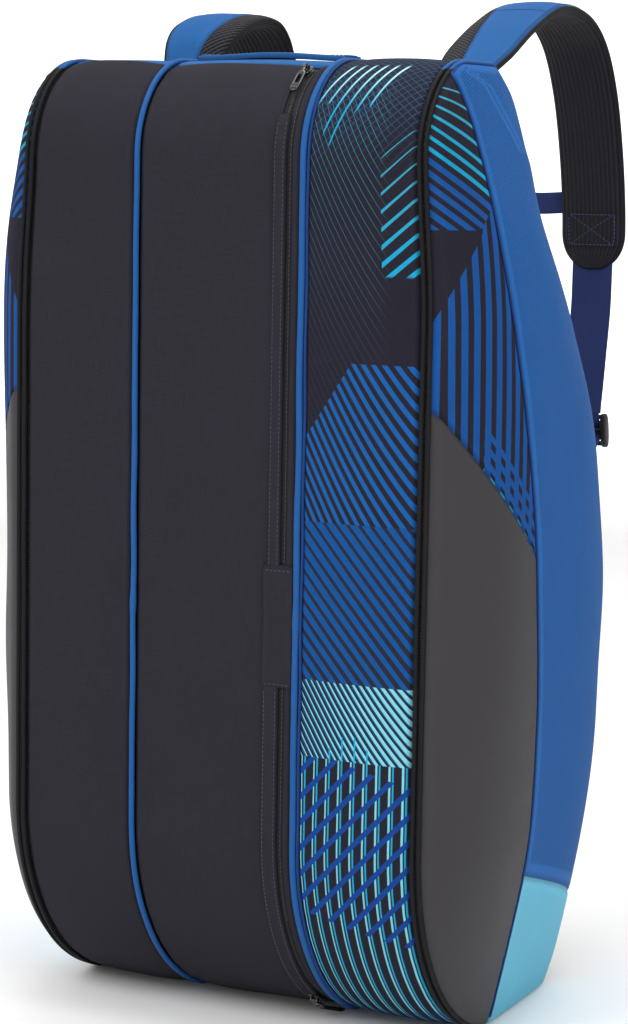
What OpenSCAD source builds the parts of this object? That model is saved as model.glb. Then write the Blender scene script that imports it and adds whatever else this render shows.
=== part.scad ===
// Three-compartment racket tournament bag that stands on its narrow base.
// X runs across the compartments, the straps are on the +Y side, +Z is up.
// The origin is the centre of the flat base.

/* [Body] */
// Height of the bag
body_h = 770; // [740:5:800]
// Front face, measured from the centre of the base
front_depth = 210; // [195:1:225]
// Width of the middle compartment between its two dividers
middle_w = 144; // [130:1:160]
// Width of each side compartment, from divider to zip
side_w = 98; // [85:1:115]
// Radius of the corner between the front and the top
top_corner_r = 75; // [60:1:90]
// Radius of the corner between the front and the base
base_corner_r = 178; // [150:1:190]
// How far the base corner's circle dips below the floor line, which sets where the base turns flat
base_dip = 5; // [2:0.5:8]
// Thickness of a sewn wall: shell fabric, foam and lining
wall_t = 4; // [3:0.5:6]

/* [Covers] */
// How far each large side cover bulges past its rim
dome_h = 48; // [30:1:55]
// Thickness of a cover's rim
rim_t = 7; // [6:0.5:9]
// Thickness of the foam in a cover
foam_t = 6; // [4:0.5:8]
// Thickness of a sewn face panel on a cover
skin_t = 1.4; // [1:0.2:2]
// Width of the channel that holds a side zip
zip_channel = 6; // [5:0.5:8]

/* [Piping] */
// Radius of the piping at the dividers
piping_r = 2.6; // [2:0.1:2.8]
// Radius of the piping along the side zips
edge_piping_r = 2.7; // [2.2:0.1:2.8]

/* [Front zip] */
// Centre line of the front zip, from the middle of the bag
zip_x = 54; // [48:1:58]
// Lower end of the straight stretch that opens as a flap
flap_low = 185; // [180:1:200]
// Upper end of the straight stretch that opens as a flap
flap_high = 680; // [640:1:682]
// Parking angle of the upper slider, from the top of its corner
upper_park = 29; // [24:1:34]
// Parking angle of the lower slider, from the bottom of its corner
lower_park = 32; // [30:1:40]

/* [Straps] */
// Distance of each shoulder strap from the middle of the bag
strap_x = 120; // [100:1:130]
// Width of a strap pad
strap_w = 60; // [50:1:65]
// Thickness of a strap pad with its cover
strap_t = 12; // [9:1:14]
// Width of the strap webbing
web_w = 38; // [25:1:40]
// Thickness of all webbing
web_t = 1.8; // [1.4:0.2:2.4]
// Height of the chest strap
chest_z = 660; // [620:5:700]
// Length of the top handle
handle_len = 130; // [110:5:150]

/* [Hidden] */

gap = 0.3;
far = 60;
front_y = -front_depth;
half_middle = middle_w / 2;
seam_x = half_middle + side_w;
rim_x = seam_x + zip_channel + 0.6;

// The back edge of the side profile, from the base to the top, as [height, depth]
back_edge = [[0, 50], [30, 78], [80, 104], [170, 128], [270, 137], [370, 133], [470, 103],
             [560, 45], [640, -15], [700, -42], [745, -56], [body_h, -85]];

// Centre lines of the strap in the side plane, as [depth, height]
pad_path = [[-44, 740], [-20, 764], [12, 782], [64, 806], [124, 824], [182, 820], [226, 798],
            [256, 758], [276, 706], [288, 650], [290, 600]];
// The left pad hangs lower than the right one
left_pad_path = [[-44, 740], [-44, 766], [-28, 792], [4, 808], [42, 811], [74, 798], [100, 772],
                 [136, 748], [184, 731], [232, 716], [268, 692], [288, 650], [290, 600]];
webbing_path = [[289, 598], [287, 560], [279, 515], [270, 470]];
adjuster_path = [[267, 452], [252, 400], [214, 330], [170, 250], [142, 192]];

// ---------- profile ----------

// Depth of the front edge at height z: flat base, round corner, straight front, round top corner
function base_arc_y(z) =
    front_y + base_corner_r - sqrt(base_corner_r ^ 2 - (base_corner_r - base_dip - z) ^ 2);
function top_arc_y(z) =
    front_y + top_corner_r - sqrt(max(0, top_corner_r ^ 2 - (z - body_h + top_corner_r) ^ 2));
function front_edge_y(z) =
    z < base_corner_r - base_dip ? base_arc_y(z)
    : z > body_h - top_corner_r ? top_arc_y(z) : front_y;

// Slope of the back edge at one of its points, and a smooth curve through the points
function knot_slope(i) =
    let (last = len(back_edge) - 1, a = max(0, i - 1), b = min(last, i + 1))
    (back_edge[b][1] - back_edge[a][1]) / (back_edge[b][0] - back_edge[a][0]);
function knot_below(z, i = 0) =
    i >= len(back_edge) - 2 || z < back_edge[i + 1][0] ? i : knot_below(z, i + 1);
function back_edge_y(z) =
    let (i = knot_below(z), p = back_edge[i], q = back_edge[i + 1], h = q[0] - p[0],
         t = (z - p[0]) / h)
    p[1] * (1 + 2 * t) * (1 - t) ^ 2 + q[1] * t ^ 2 * (3 - 2 * t)
    + h * (knot_slope(i) * t * (1 - t) ^ 2 - knot_slope(i + 1) * t ^ 2 * (1 - t));

// Heights from one end to the other, closer together at both ends
function eased(from, to, steps) =
    [for (i = [0 : steps]) from + (to - from) * (1 - cos(180 * i / steps)) / 2];

front_points = [for (z = eased(0, body_h, 40)) [front_edge_y(z), z]];
back_points = [for (z = eased(body_h, 0, 32)) [back_edge_y(z), z]];
base_front_y = front_edge_y(0);
base_back_y = back_edge_y(0);

module side_profile() {
    polygon(concat(front_points, back_points));
}

// A band of the given thickness just inside the side profile
module wall_band(thickness, inset = 0) {
    difference() {
        offset(delta = -inset) side_profile();
        offset(delta = -inset - thickness) side_profile();
    }
}

// Turns a drawing of the side view (depth, height) into a solid between two X positions
module across(x0, x1) {
    translate([x0, 0, 0]) rotate([90, 0, 90]) linear_extrude(x1 - x0) children();
}

// Everything in front of the line from the base's front end to a point on the top
module front_zone(top_y) {
    polygon([[base_front_y, -far], [base_front_y, far], [-60, body_h / 2], [top_y, body_h - far],
             [top_y, body_h + far], [front_y - far, body_h + far], [front_y - far, -far]]);
}

module height_zone(z0, z1) {
    translate([front_y - far, z0]) square([far * 2 + 100, z1 - z0]);
}

module mirror_to_left() {
    mirror([1, 0, 0]) children();
}

// ---------- ribbons and cords ----------

// Smooth points through a list of plane points
function spline_at(p, i, t) =
    let (n = len(p) - 1, a = p[max(0, i - 1)], b = p[i], c = p[i + 1], d = p[min(n, i + 2)])
    0.5 * (2 * b + (c - a) * t + (2 * a - 5 * b + 4 * c - d) * t ^ 2
           + (3 * b - a - 3 * c + d) * t ^ 3);
function smooth_points(p, steps) =
    [for (i = [0 : len(p) - 2], k = [0 : steps - 1]) spline_at(p, i, k / steps), p[len(p) - 1]];

function unit2(v) = v / norm(v);
function side_normal(p, i) =
    let (d = unit2(p[min(len(p) - 1, i + 1)] - p[max(0, i - 1)])) [-d[1], d[0]];
function shifted(p, by) = [for (i = [0 : len(p) - 1]) p[i] + by * side_normal(p, i)];
function reversed(p) = [for (i = [len(p) - 1 : -1 : 0]) p[i]];

// A flat strip that follows a path in the side plane, from one offset to another
module ribbon(path, low, high) {
    polygon(concat(shifted(path, high), reversed(shifted(path, low))));
}

// A round cord along points in space; across_dir is a direction the cord never runs along
module cord(points, radius, across_dir) {
    sides = 8;
    n = len(points);
    rings = [for (i = [0 : n - 1])
        let (d = points[min(n - 1, i + 1)] - points[max(0, i - 1)],
             u = cross(d, across_dir) / norm(cross(d, across_dir)),
             v = cross(d, u) / norm(cross(d, u)))
        for (k = [0 : sides - 1])
            points[i] + radius * (cos(360 * k / sides) * u + sin(360 * k / sides) * v)];
    quads = [for (i = [0 : n - 2], k = [0 : sides - 1])
        let (a = i * sides + k, b = i * sides + (k + 1) % sides) [a, b, b + sides, a + sides]];
    ends = [[for (k = [sides - 1 : -1 : 0]) k], [for (k = [0 : sides - 1]) (n - 1) * sides + k]];
    polyhedron(rings, concat(quads, ends), convexity = 8);
}

// ---------- domed covers ----------

function dome_fall(u) = 1 - pow(min(1, abs(u)), u < 0 ? 4 : 2.6);
function end_fall(z) = 1 - pow(abs(2 * z / body_h - 1), 3.4);
// X position of a cover's outer face at a depth and height
function cover_x(y, z) =
    let (f = front_edge_y(z), b = back_edge_y(z), u = (2 * y - f - b) / (b - f))
    rim_x + rim_t + dome_h * dome_fall(u) * end_fall(z);

// Front edge of the blue panel on a cover
blue_edge_points = [[0, -73], [40, -88], [113, -97], [223, -98], [386, -110], [504, -137], [627, -167],
                    [701, -172], [735, -165], [755, -149], [body_h, -128]];
function blue_edge_y(z) = lookup(z, blue_edge_points);
// Where the grey panel meets the front edge and the blue panel
grey_front_z = 503;
grey_back_z = 386;
// Where the corner panel meets the blue edge and the back edge
corner_front_z = 136;
corner_back_z = 70;
panel_margin = 1.2;
// Room between two face panels on each side of the blue edge
seam_gap = 1.2;

function mix(a, b, t) = a + (b - a) * t;

// A closed slab over the cover's face. The slab runs between two edge curves (0 is the front
// edge, 1 the blue edge, 2 the back edge); its low and high ends may slope between them.
function edge_y(which, z) =
    which == 0 ? front_edge_y(z) + panel_margin
    : which == 1 ? blue_edge_y(z) : back_edge_y(z) - panel_margin;

module face_slab(from_edge, to_edge, low, high, rows, cols, outer, thickness) {
    heights = [for (s = [0 : cols]) eased(mix(low[0], low[1], s / cols),
                                          mix(high[0], high[1], s / cols), rows)];
    grid = [for (r = [0 : rows], c = [0 : cols])
        let (z = heights[c][r],
             a = edge_y(from_edge, z) + (from_edge == 1 ? seam_gap : 0),
             b = edge_y(to_edge, z) - (to_edge == 1 ? seam_gap : 0),
             y = mix(a, b, c / cols))
        [y, z, cover_x(y, z) - outer]];
    n = len(grid);
    points = concat([for (g = grid) [g[2], g[0], g[1]]],
                    [for (g = grid) [max(rim_x, g[2] - thickness), g[0], g[1]]]);
    function at(r, c) = r * (cols + 1) + c;
    tops = [for (r = [0 : rows - 1], c = [0 : cols - 1])
        each [[at(r, c), at(r + 1, c), at(r + 1, c + 1)], [at(r, c), at(r + 1, c + 1), at(r, c + 1)]]];
    unders = [for (f = tops) [n + f[2], n + f[1], n + f[0]]];
    rim = concat([for (c = [0 : cols]) at(0, c)], [for (r = [1 : rows]) at(r, cols)],
                 [for (c = [cols - 1 : -1 : 0]) at(rows, c)], [for (r = [rows - 1 : -1 : 1]) at(r, 0)]);
    m = len(rim);
    walls = [for (i = [0 : m - 1]) let (a = rim[i], b = rim[(i + 1) % m])
        each [[a, b, n + b], [a, n + b, n + a]]];
    polyhedron(points, concat(tops, unders, walls), convexity = 6);
}

// Room between the face panels and the foam, which is straight between fewer points
skin_gap = 2.6;
module cover_foam() {
    face_slab(0, 2, [3, 3], [body_h - 3, body_h - 3], 28, 18, skin_t + skin_gap, foam_t);
}
module blue_panel() {
    face_slab(1, 2, [corner_front_z + gap, corner_back_z + gap], [body_h - 3, body_h - 3], 30, 6,
              0, skin_t);
}
module print_panel() {
    face_slab(0, 1, [grey_front_z + gap, grey_back_z + gap], [body_h - 3, body_h - 3], 22, 5,
              0, skin_t);
}
module grey_panel() {
    face_slab(0, 1, [3, 3], [grey_front_z, grey_back_z], 16, 5, 0, skin_t);
}
module corner_panel() {
    face_slab(1, 2, [3, 3], [corner_front_z, corner_back_z], 5, 5, 0, skin_t);
}
module face_piping() {
    cord([for (z = eased(24, body_h - 24, 24)) let (y = blue_edge_y(z)) [cover_x(y, z) + 2.1, y, z]],
         1.5, [1, 0, 0]);
}

// ---------- fixed shell ----------

module back_panel() {
    color("#26262c") across(-seam_x, seam_x) intersection() {
        wall_band(wall_t);
        polygon([[base_back_y, -far], [base_back_y, 40], [0, body_h / 2], [-90, body_h - 60],
                 [-86, body_h - 5], [-86, body_h + far], [far * 4, body_h + far], [far * 4, -far]]);
    }
}

// Air-mesh pad on the back, from just under the strap anchors down to the lower tabs
module back_pad() {
    color("#1d1d21") across(-86, 86) intersection() {
        difference() {
            offset(delta = 7 + gap) side_profile();
            offset(delta = gap) side_profile();
        }
        polygon([[60, 230], [far * 4, 230], [far * 4, 690], [-100, 690], [-100, 640]]);
    }
}

// Top of the bag: it starts a little further forward on the middle compartment
top_panel_y = [-158, -160, -136];
module top_panel() {
    spans = [[-seam_x, -half_middle - 3], [-half_middle + 3, half_middle - 3], [half_middle + 3, seam_x]];
    color("#2a5aa8") for (i = [0 : 2]) across(spans[i][0], spans[i][1]) intersection() {
        wall_band(wall_t);
        polygon([[top_panel_y[i], body_h - 60], [-86, body_h - 60], [-86, body_h + far],
                 [top_panel_y[i], body_h + far]]);
    }
}

module base_panel() {
    color("#222228") across(-seam_x, seam_x)
        translate([base_front_y, 0]) square([base_back_y - base_front_y, wall_t]);
}

board_t = 3;
module base_board() {
    color("#8a8a86") translate([-seam_x + 6, base_front_y + 12, wall_t])
        cube([2 * seam_x - 12, base_back_y - base_front_y - 24, board_t]);
}

divider_t = 4;
module divider_right() {
    color("#3a3a42") across(half_middle - divider_t / 2, half_middle + divider_t / 2)
        offset(delta = -wall_t - board_t - 1) side_profile();
}
module divider_left() {
    mirror_to_left() divider_right();
}

module front_gusset(x0, x1, top_y) {
    across(x0, x1) intersection() {
        wall_band(wall_t);
        front_zone(top_y);
    }
}
module front_gusset_left() {
    color("#2b2a33") front_gusset(-seam_x, -half_middle - 3, top_panel_y[0]);
}
module front_gusset_right() {
    color("#1c4f8c") front_gusset(half_middle + 3, seam_x, top_panel_y[2]);
}

flap_left_x = -half_middle + 3;
flap_right_x = zip_x - 5.5;
zip_half_w = 4.7;

module centre_top_strip() {
    color("#2b2a33") across(flap_left_x, flap_right_x) intersection() {
        wall_band(wall_t);
        front_zone(top_panel_y[1]);
        height_zone(flap_high, body_h + far);
    }
}
module centre_bottom_strip() {
    color("#2b2a33") across(flap_left_x, flap_right_x) intersection() {
        wall_band(wall_t);
        front_zone(top_panel_y[1]);
        height_zone(-far, flap_low);
    }
}
module centre_side_strip() {
    color("#2b2a33") front_gusset(zip_x + 5.5, half_middle - 3, top_panel_y[1]);
}

// Piping runs over the front, from the middle of the top to the base
module front_piping(x, radius) {
    points = [for (p = front_points) if (p[1] > 6) p];
    lift = radius + 0.2;
    cord([for (p = points) [x, p[0] + (p[1] < 60 ? 3 : 0), max(p[1], lift)]], radius, [1, 0, 0]);
}
module piping_left() {
    color("#2f6cc0") front_piping(-half_middle, piping_r);
}
module piping_right() {
    color("#2f6cc0") front_piping(half_middle, piping_r);
}
// A thin second cord beside the right piping, lying on the printed gusset
module piping_right_inner() {
    r = 1.2;
    path = [for (p = shifted(front_points, r + gap)) if (p[1] > 40) p];
    color("#1f3f86") cord([for (p = path) [half_middle + 6, p[0], p[1]]], r, [1, 0, 0]);
}
module edge_piping_right() {
    color("#202024") front_piping(seam_x + zip_channel / 2 + 0.2, edge_piping_r);
}
module edge_piping_left() {
    mirror_to_left() edge_piping_right();
}

// ---------- zips ----------

zip_t = 1.6;
module zip_strip(x0, x1, inset, z0, z1, top_y) {
    across(x0, x1) intersection() {
        wall_band(zip_t, inset);
        front_zone(top_y);
        height_zone(z0, z1);
    }
}
module front_zip() {
    color("#17171a") {
        zip_strip(zip_x + gap, zip_x + zip_half_w, 1, -far, body_h + far, top_panel_y[1]);
        zip_strip(zip_x - zip_half_w, zip_x - gap, 1, -far, flap_low - 1, top_panel_y[1]);
        zip_strip(zip_x - zip_half_w, zip_x - gap, 1, flap_high + 1, body_h + far, top_panel_y[1]);
    }
}
module flap_zip() {
    color("#17171a") zip_strip(zip_x - zip_half_w, zip_x - gap, 1, flap_low + 1, flap_high - 1,
                               top_panel_y[1]);
}

// The side zips run over the front and up the back to the start of the hinge seam
zip_back_end = 285;
module side_zip_right() {
    color("#17171a") across(seam_x + gap, rim_x - gap) intersection() {
        wall_band(zip_t, 2 * edge_piping_r + 0.6);
        polygon([[-90, body_h + far], [-90, body_h - 60], [-60, body_h / 2], [0, zip_back_end],
                 [far * 4, zip_back_end], [far * 4, -far], [front_y - far, -far],
                 [front_y - far, body_h + far]]);
    }
}
module side_zip_left() {
    mirror_to_left() side_zip_right();
}

// Folded webbing tab at the lower end of the front zip
module zip_end_tab() {
    color("#17171a") translate([zip_x - 9, base_front_y - 26, 1])
        rotate([-14, 0, 0]) cube([18, 14, 2]);
}

// Frames that turn with a corner arc: origin on the surface, +Y inward, +Z along the zip, upwards
module on_top_arc(angle) {
    translate([0, front_y + top_corner_r, body_h - top_corner_r]) rotate([angle - 90, 0, 0])
        translate([0, -top_corner_r, 0]) children();
}
module on_base_arc(angle) {
    translate([0, front_y + base_corner_r, base_corner_r - base_dip]) rotate([90 - angle, 0, 0])
        translate([0, -base_corner_r, 0]) children();
}

slider_w = 9;
slider_l = 12;
slider_t = 2.6;
pivot_r = 1;
pivot_out = 5.8;
// Slider body in the frame above: a rounded plate over the coil and a bridge with a cross bar
module slider_shape() {
    translate([-slider_w / 2, -slider_t - gap, -slider_l / 2]) cube([slider_w, slider_t, slider_l]);
    for (x = [-3, 2]) translate([x, -pivot_out - pivot_r - 0.6, -2])
        cube([1, pivot_out + pivot_r + 0.6 - slider_t, 4]);
    translate([-3, -pivot_out, 0]) rotate([0, 90, 0]) cylinder(h = 6, r = pivot_r, $fn = 24);
}
// Puller: an eye round the cross bar and a long loop that lies along the zip
module puller_shape(length) {
    difference() {
        union() {
            translate([-1.6, -pivot_out, 0]) rotate([0, 90, 0])
                cylinder(h = 3.2, r = pivot_r + 1.2, $fn = 32);
            translate([-1.6, -pivot_out - 1.1, -7]) cube([3.2, 2.2, 6]);
        }
        translate([-3, -pivot_out, 0]) rotate([0, 90, 0])
            cylinder(h = 6, r = pivot_r + 0.08, $fn = 32);
    }
    translate([0, -pivot_out + 1.1, -6]) rotate([90, 0, 0]) linear_extrude(2.2) difference() {
        translate([-3.6, -length]) square([7.2, length]);
        translate([-1.8, -length + 2]) square([3.6, length - 5]);
    }
}

module upper_zip_slider() {
    color("#0e0e10") translate([zip_x, 0, 0]) on_top_arc(upper_park) slider_shape();
}
module upper_zip_puller() {
    color("#0e0e10") translate([zip_x, 0, 0]) on_top_arc(upper_park) puller_shape(28);
}
module lower_zip_slider() {
    color("#0e0e10") translate([zip_x, 0, 0]) on_base_arc(lower_park) slider_shape();
}
module lower_zip_puller() {
    color("#0e0e10") translate([zip_x, 0, 0]) on_base_arc(lower_park) puller_shape(9);
}
// The side zips' sliders are parked behind, at the back end of the zip
side_slider_z = 258;
side_slide_len = 80;
side_slide_dir = atan2(back_edge_y(side_slider_z) - back_edge_y(side_slider_z - side_slide_len),
                       side_slide_len);
side_plate_out = 4.9;
side_pivot_out = 8.2;
module on_back_edge() {
    translate([seam_x + zip_channel / 2 + 0.3, back_edge_y(side_slider_z) - 1, side_slider_z])
        rotate([0, 0, 180]) rotate([side_slide_dir, 0, 0]) children();
}
module right_zip_slider() {
    color("#0e0e10") on_back_edge() {
        translate([-2.4, 0, -slider_l / 2]) cube([4.8, 1.6, slider_l]);
        translate([-slider_w / 2, -side_plate_out, -slider_l / 2]) cube([slider_w, 1.4, slider_l]);
        translate([-2.4, -4, -3]) cube([4.8, 5, 6]);
        for (x = [-3, 2]) translate([x, -side_pivot_out - 1.6, -2])
            cube([1, side_pivot_out + 1.6 - side_plate_out + 0.4, 4]);
        translate([-3, -side_pivot_out, 0]) rotate([0, 90, 0]) cylinder(h = 6, r = pivot_r, $fn = 24);
    }
}
module right_zip_puller() {
    color("#0e0e10") on_back_edge() translate([0, pivot_out - side_pivot_out, 0])
        puller_shape(26);
}
module left_zip_slider() {
    mirror_to_left() right_zip_slider();
}
module left_zip_puller() {
    mirror_to_left() right_zip_puller();
}

// ---------- flap of the middle compartment ----------

module flap_panel() {
    color("#2b2a33") translate([flap_left_x + 1, front_y, flap_low + 1])
        cube([flap_right_x - flap_left_x - 1.5, wall_t, flap_high - flap_low - 2]);
}
// Two stitched storm flaps beside the zip, above and below the plain bridge
module zip_cover_flaps() {
    w = 10;
    spans = [[flap_low + 2, 292], [382, flap_high - 2]];
    color("#1f1f25") for (s = spans) translate([flap_right_x - w - 1, front_y - 1.2, s[0]])
        cube([w, 1, s[1] - s[0]]);
}

// ---------- straps and handle ----------

pad_points = smooth_points(pad_path, 4);
left_pad_points = smooth_points(left_pad_path, 4);
pad_cover_t = 2.2;
module strap_pad(points) {
    color("#151518") across(strap_x - strap_w / 2, strap_x + strap_w / 2)
        ribbon(points, -strap_t / 2, strap_t / 2 - pad_cover_t);
}
module strap_cover(points) {
    color("#2a5aa8") {
        across(strap_x - strap_w / 2, strap_x + strap_w / 2)
            ribbon(points, strap_t / 2 - pad_cover_t, strap_t / 2);
        keeper();
    }
}
// Loop sewn to the strap cover that the chest strap passes through
keeper_l = 10;
module keeper() {
    translate([strap_x - strap_w / 2 + 4, chest_y - 3.2, chest_z - chest_w / 2 - 3])
        difference() {
            cube([keeper_l, 3.2 + web_t + 1.8, chest_w + 6]);
            translate([-1, 3.2 - 0.5, 2.4]) cube([keeper_l + 2, web_t + 1, chest_w + 1.2]);
        }
}
module strap_webbing() {
    color("#1f2a66") {
        across(strap_x - web_w / 2, strap_x + web_w / 2)
            ribbon(smooth_points(webbing_path, 4), -web_t / 2, web_t / 2);
        across(strap_x - 14, strap_x + 14)
            ribbon(smooth_points(adjuster_path, 4), -web_t / 2, web_t / 2);
    }
}
lock_len = 30;
module ladder_lock() {
    p = webbing_path[len(webbing_path) - 1];
    color("#101012") translate([strap_x, p[0] + 1, p[1] - 2]) rotate([10, 0, 0])
        translate([0, 4.4, -lock_len / 2]) {
            for (x = [-22, 17]) translate([x, -2.5, -lock_len / 2]) cube([5, 5, lock_len]);
            for (z = [-lock_len / 2 + 2.5, 0, lock_len / 2 - 2.5]) translate([-22, 0, z])
                rotate([0, 90, 0]) cylinder(h = 44, r = 2.2, $fn = 32);
        }
}
module right_strap_pad() {
    strap_pad(pad_points);
}
module right_strap_cover() {
    strap_cover(pad_points);
}
module right_strap_webbing() {
    strap_webbing();
}
module right_ladder_lock() {
    ladder_lock();
}
module left_strap_pad() {
    mirror_to_left() strap_pad(left_pad_points);
}
module left_strap_cover() {
    mirror_to_left() strap_cover(left_pad_points);
}
module left_strap_webbing() {
    mirror_to_left() strap_webbing();
}
module left_ladder_lock() {
    mirror_to_left() ladder_lock();
}

// One wide reinforcement across the top of the back, where both straps are sewn in
module strap_anchor_patch() {
    color("#1d1d21") across(-strap_x - strap_w / 2 - 4, strap_x + strap_w / 2 + 4) intersection() {
        difference() {
            offset(delta = 2 + gap) side_profile();
            offset(delta = gap) side_profile();
        }
        polygon([[-30, 696], [far, 696], [far, 752], [-60, 752], [-80, 730]]);
    }
}
// Triangular tabs low on the back that hold the strap webbing
module strap_lower_tabs() {
    color("#1d1d21") for (s = [-1, 1]) across(s * strap_x - 19, s * strap_x + 19) intersection() {
        difference() {
            offset(delta = 2.4 + gap) side_profile();
            offset(delta = gap) side_profile();
        }
        polygon([[60, 150], [far * 4, 150], [far * 4, 200], [60, 200]]);
    }
}

handle_w = 30;
handle_rise = 8;
handle_y = -112;
module top_handle() {
    end = handle_len / 2;
    half_arch = [[0, handle_rise], [12, handle_rise - 0.4], [end - 35, 4.6], [end - 18, 1.4],
                 [end - 8, 0.5], [end, 0.5]];
    arch = smooth_points(concat([for (i = [5 : -1 : 1]) [-half_arch[i][0], half_arch[i][1]]],
                                half_arch), 4);
    color("#2f6cc0") translate([0, handle_y + handle_w / 2, body_h]) rotate([90, 0, 0])
        linear_extrude(handle_w) ribbon(arch, 0, 2.4);
}

// ---------- chest strap ----------

chest_y = 288 + strap_t / 2 + 1.2;
chest_w = 20;
buckle_h = 26;
socket_l = 30;
module chest_webbing() {
    translate([21, chest_y, chest_z - chest_w / 2]) cube([strap_x - 21 + 12, web_t, chest_w]);
}
module chest_strap_right() {
    color("#1f2a66") chest_webbing();
}
module chest_strap_left() {
    color("#1f2a66") mirror_to_left() chest_webbing();
}
// Socket: a flat box that is open on the plug's side
module chest_buckle_socket() {
    color("#101012") translate([-20.8, chest_y - 3.2, chest_z - buckle_h / 2]) difference() {
        cube([socket_l, 8, buckle_h]);
        translate([8, 1.8, 3]) cube([socket_l, 4.4, buckle_h - 6]);
    }
}
// Plug: a base bar with a middle tongue and two side arms
module chest_buckle_plug() {
    color("#101012") translate([0, chest_y - 1.2, chest_z]) {
        translate([socket_l - 20.8 + 0.6, -1.2, -buckle_h / 2]) cube([11, 6.4, buckle_h]);
        for (z = [-9, -1.5, 6]) translate([-11, 0.4, z]) cube([21.4, 3.2, 3]);
    }
}

module right_cover_foam() {
    color("#4a4a50") cover_foam();
}
module right_blue_panel() {
    color("#2a5aa8") blue_panel();
}
module right_print_panel() {
    color("#1c4f8c") print_panel();
}
module right_grey_panel() {
    color("#44434a") grey_panel();
}
module right_corner_panel() {
    color("#66b4d2") corner_panel();
}
module right_face_piping() {
    color("#3a76c4") face_piping();
}
module left_cover_foam() {
    mirror_to_left() right_cover_foam();
}
module left_blue_panel() {
    mirror_to_left() right_blue_panel();
}
module left_print_panel() {
    mirror_to_left() right_print_panel();
}
module left_grey_panel() {
    mirror_to_left() right_grey_panel();
}
module left_corner_panel() {
    mirror_to_left() right_corner_panel();
}
module left_face_piping() {
    mirror_to_left() right_face_piping();
}

back_panel();
back_pad();
top_panel();
base_panel();
base_board();
divider_left();
divider_right();
front_gusset_left();
front_gusset_right();
centre_top_strip();
centre_bottom_strip();
centre_side_strip();
piping_left();
piping_right();
piping_right_inner();
edge_piping_left();
edge_piping_right();
front_zip();
side_zip_left();
side_zip_right();
zip_end_tab();
strap_anchor_patch();
strap_lower_tabs();
top_handle();
flap_panel();
flap_zip();
zip_cover_flaps();
upper_zip_slider();
upper_zip_puller();
lower_zip_slider();
lower_zip_puller();
right_cover_foam();
right_blue_panel();
right_print_panel();
right_grey_panel();
right_corner_panel();
right_face_piping();
left_cover_foam();
left_blue_panel();
left_print_panel();
left_grey_panel();
left_corner_panel();
left_face_piping();
right_zip_slider();
right_zip_puller();
left_zip_slider();
left_zip_puller();
right_strap_pad();
right_strap_cover();
right_strap_webbing();
right_ladder_lock();
left_strap_pad();
left_strap_cover();
left_strap_webbing();
left_ladder_lock();
chest_strap_left();
chest_strap_right();
chest_buckle_socket();
chest_buckle_plug();
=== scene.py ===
"""Looks of the racket tournament bag. Everything is in metres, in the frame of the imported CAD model:
X across the compartments, the shoulder straps on the +Y side, Z up, origin under the base."""

import math

import bmesh
import bpy
import numpy as np
from mathutils import Matrix, Vector


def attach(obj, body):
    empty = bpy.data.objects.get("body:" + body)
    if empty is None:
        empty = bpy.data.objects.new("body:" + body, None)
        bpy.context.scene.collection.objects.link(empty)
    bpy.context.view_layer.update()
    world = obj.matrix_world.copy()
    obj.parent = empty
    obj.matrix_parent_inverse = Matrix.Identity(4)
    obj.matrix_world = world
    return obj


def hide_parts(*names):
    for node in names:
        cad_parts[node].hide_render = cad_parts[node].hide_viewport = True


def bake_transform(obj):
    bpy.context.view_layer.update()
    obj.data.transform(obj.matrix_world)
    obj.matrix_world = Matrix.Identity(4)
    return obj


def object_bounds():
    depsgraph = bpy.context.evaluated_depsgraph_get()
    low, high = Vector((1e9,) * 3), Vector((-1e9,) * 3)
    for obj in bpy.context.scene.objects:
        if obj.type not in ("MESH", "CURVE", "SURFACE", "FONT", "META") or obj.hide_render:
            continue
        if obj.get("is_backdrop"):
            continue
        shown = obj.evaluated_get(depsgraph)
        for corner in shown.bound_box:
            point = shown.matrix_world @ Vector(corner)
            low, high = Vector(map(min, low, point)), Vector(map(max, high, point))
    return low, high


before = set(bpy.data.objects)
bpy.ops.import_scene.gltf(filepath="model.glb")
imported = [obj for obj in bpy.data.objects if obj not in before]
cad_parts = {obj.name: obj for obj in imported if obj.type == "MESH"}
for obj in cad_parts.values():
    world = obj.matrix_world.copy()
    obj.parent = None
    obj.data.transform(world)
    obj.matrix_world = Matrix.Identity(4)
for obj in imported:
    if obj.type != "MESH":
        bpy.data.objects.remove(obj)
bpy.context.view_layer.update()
scene = bpy.context.scene

# ---------------------------------------------------------------- camera

AZIMUTH, PITCH, ROLL = math.radians(26), math.radians(7.51), math.radians(0.99)
CAMERA_AT = Vector((0.98460, -2.05368, 0.69942))
LENS, SENSOR = 95.507, 36


def make_camera():
    """The photo's viewpoint, fitted to the seam lines"""
    back = Vector((math.sin(AZIMUTH) * math.cos(PITCH), -math.cos(AZIMUTH) * math.cos(PITCH), math.sin(PITCH)))
    right = Vector((math.cos(AZIMUTH), math.sin(AZIMUTH), 0))
    up = back.cross(right)
    c, s = math.cos(ROLL), math.sin(ROLL)
    turned_right, turned_up = c * right + s * up, c * up - s * right
    place = Matrix((turned_right, turned_up, back)).transposed().to_4x4()
    place.translation = CAMERA_AT
    data = bpy.data.cameras.new("camera")
    data.lens, data.sensor_width = LENS, SENSOR
    data.clip_start, data.clip_end = 0.05, 50
    cam = bpy.data.objects.new("camera", data)
    cam.matrix_world = place
    scene.collection.objects.link(cam)
    scene.camera = cam


make_camera()

# ---------------------------------------------------------------- sizes, as in the CAD source

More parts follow.
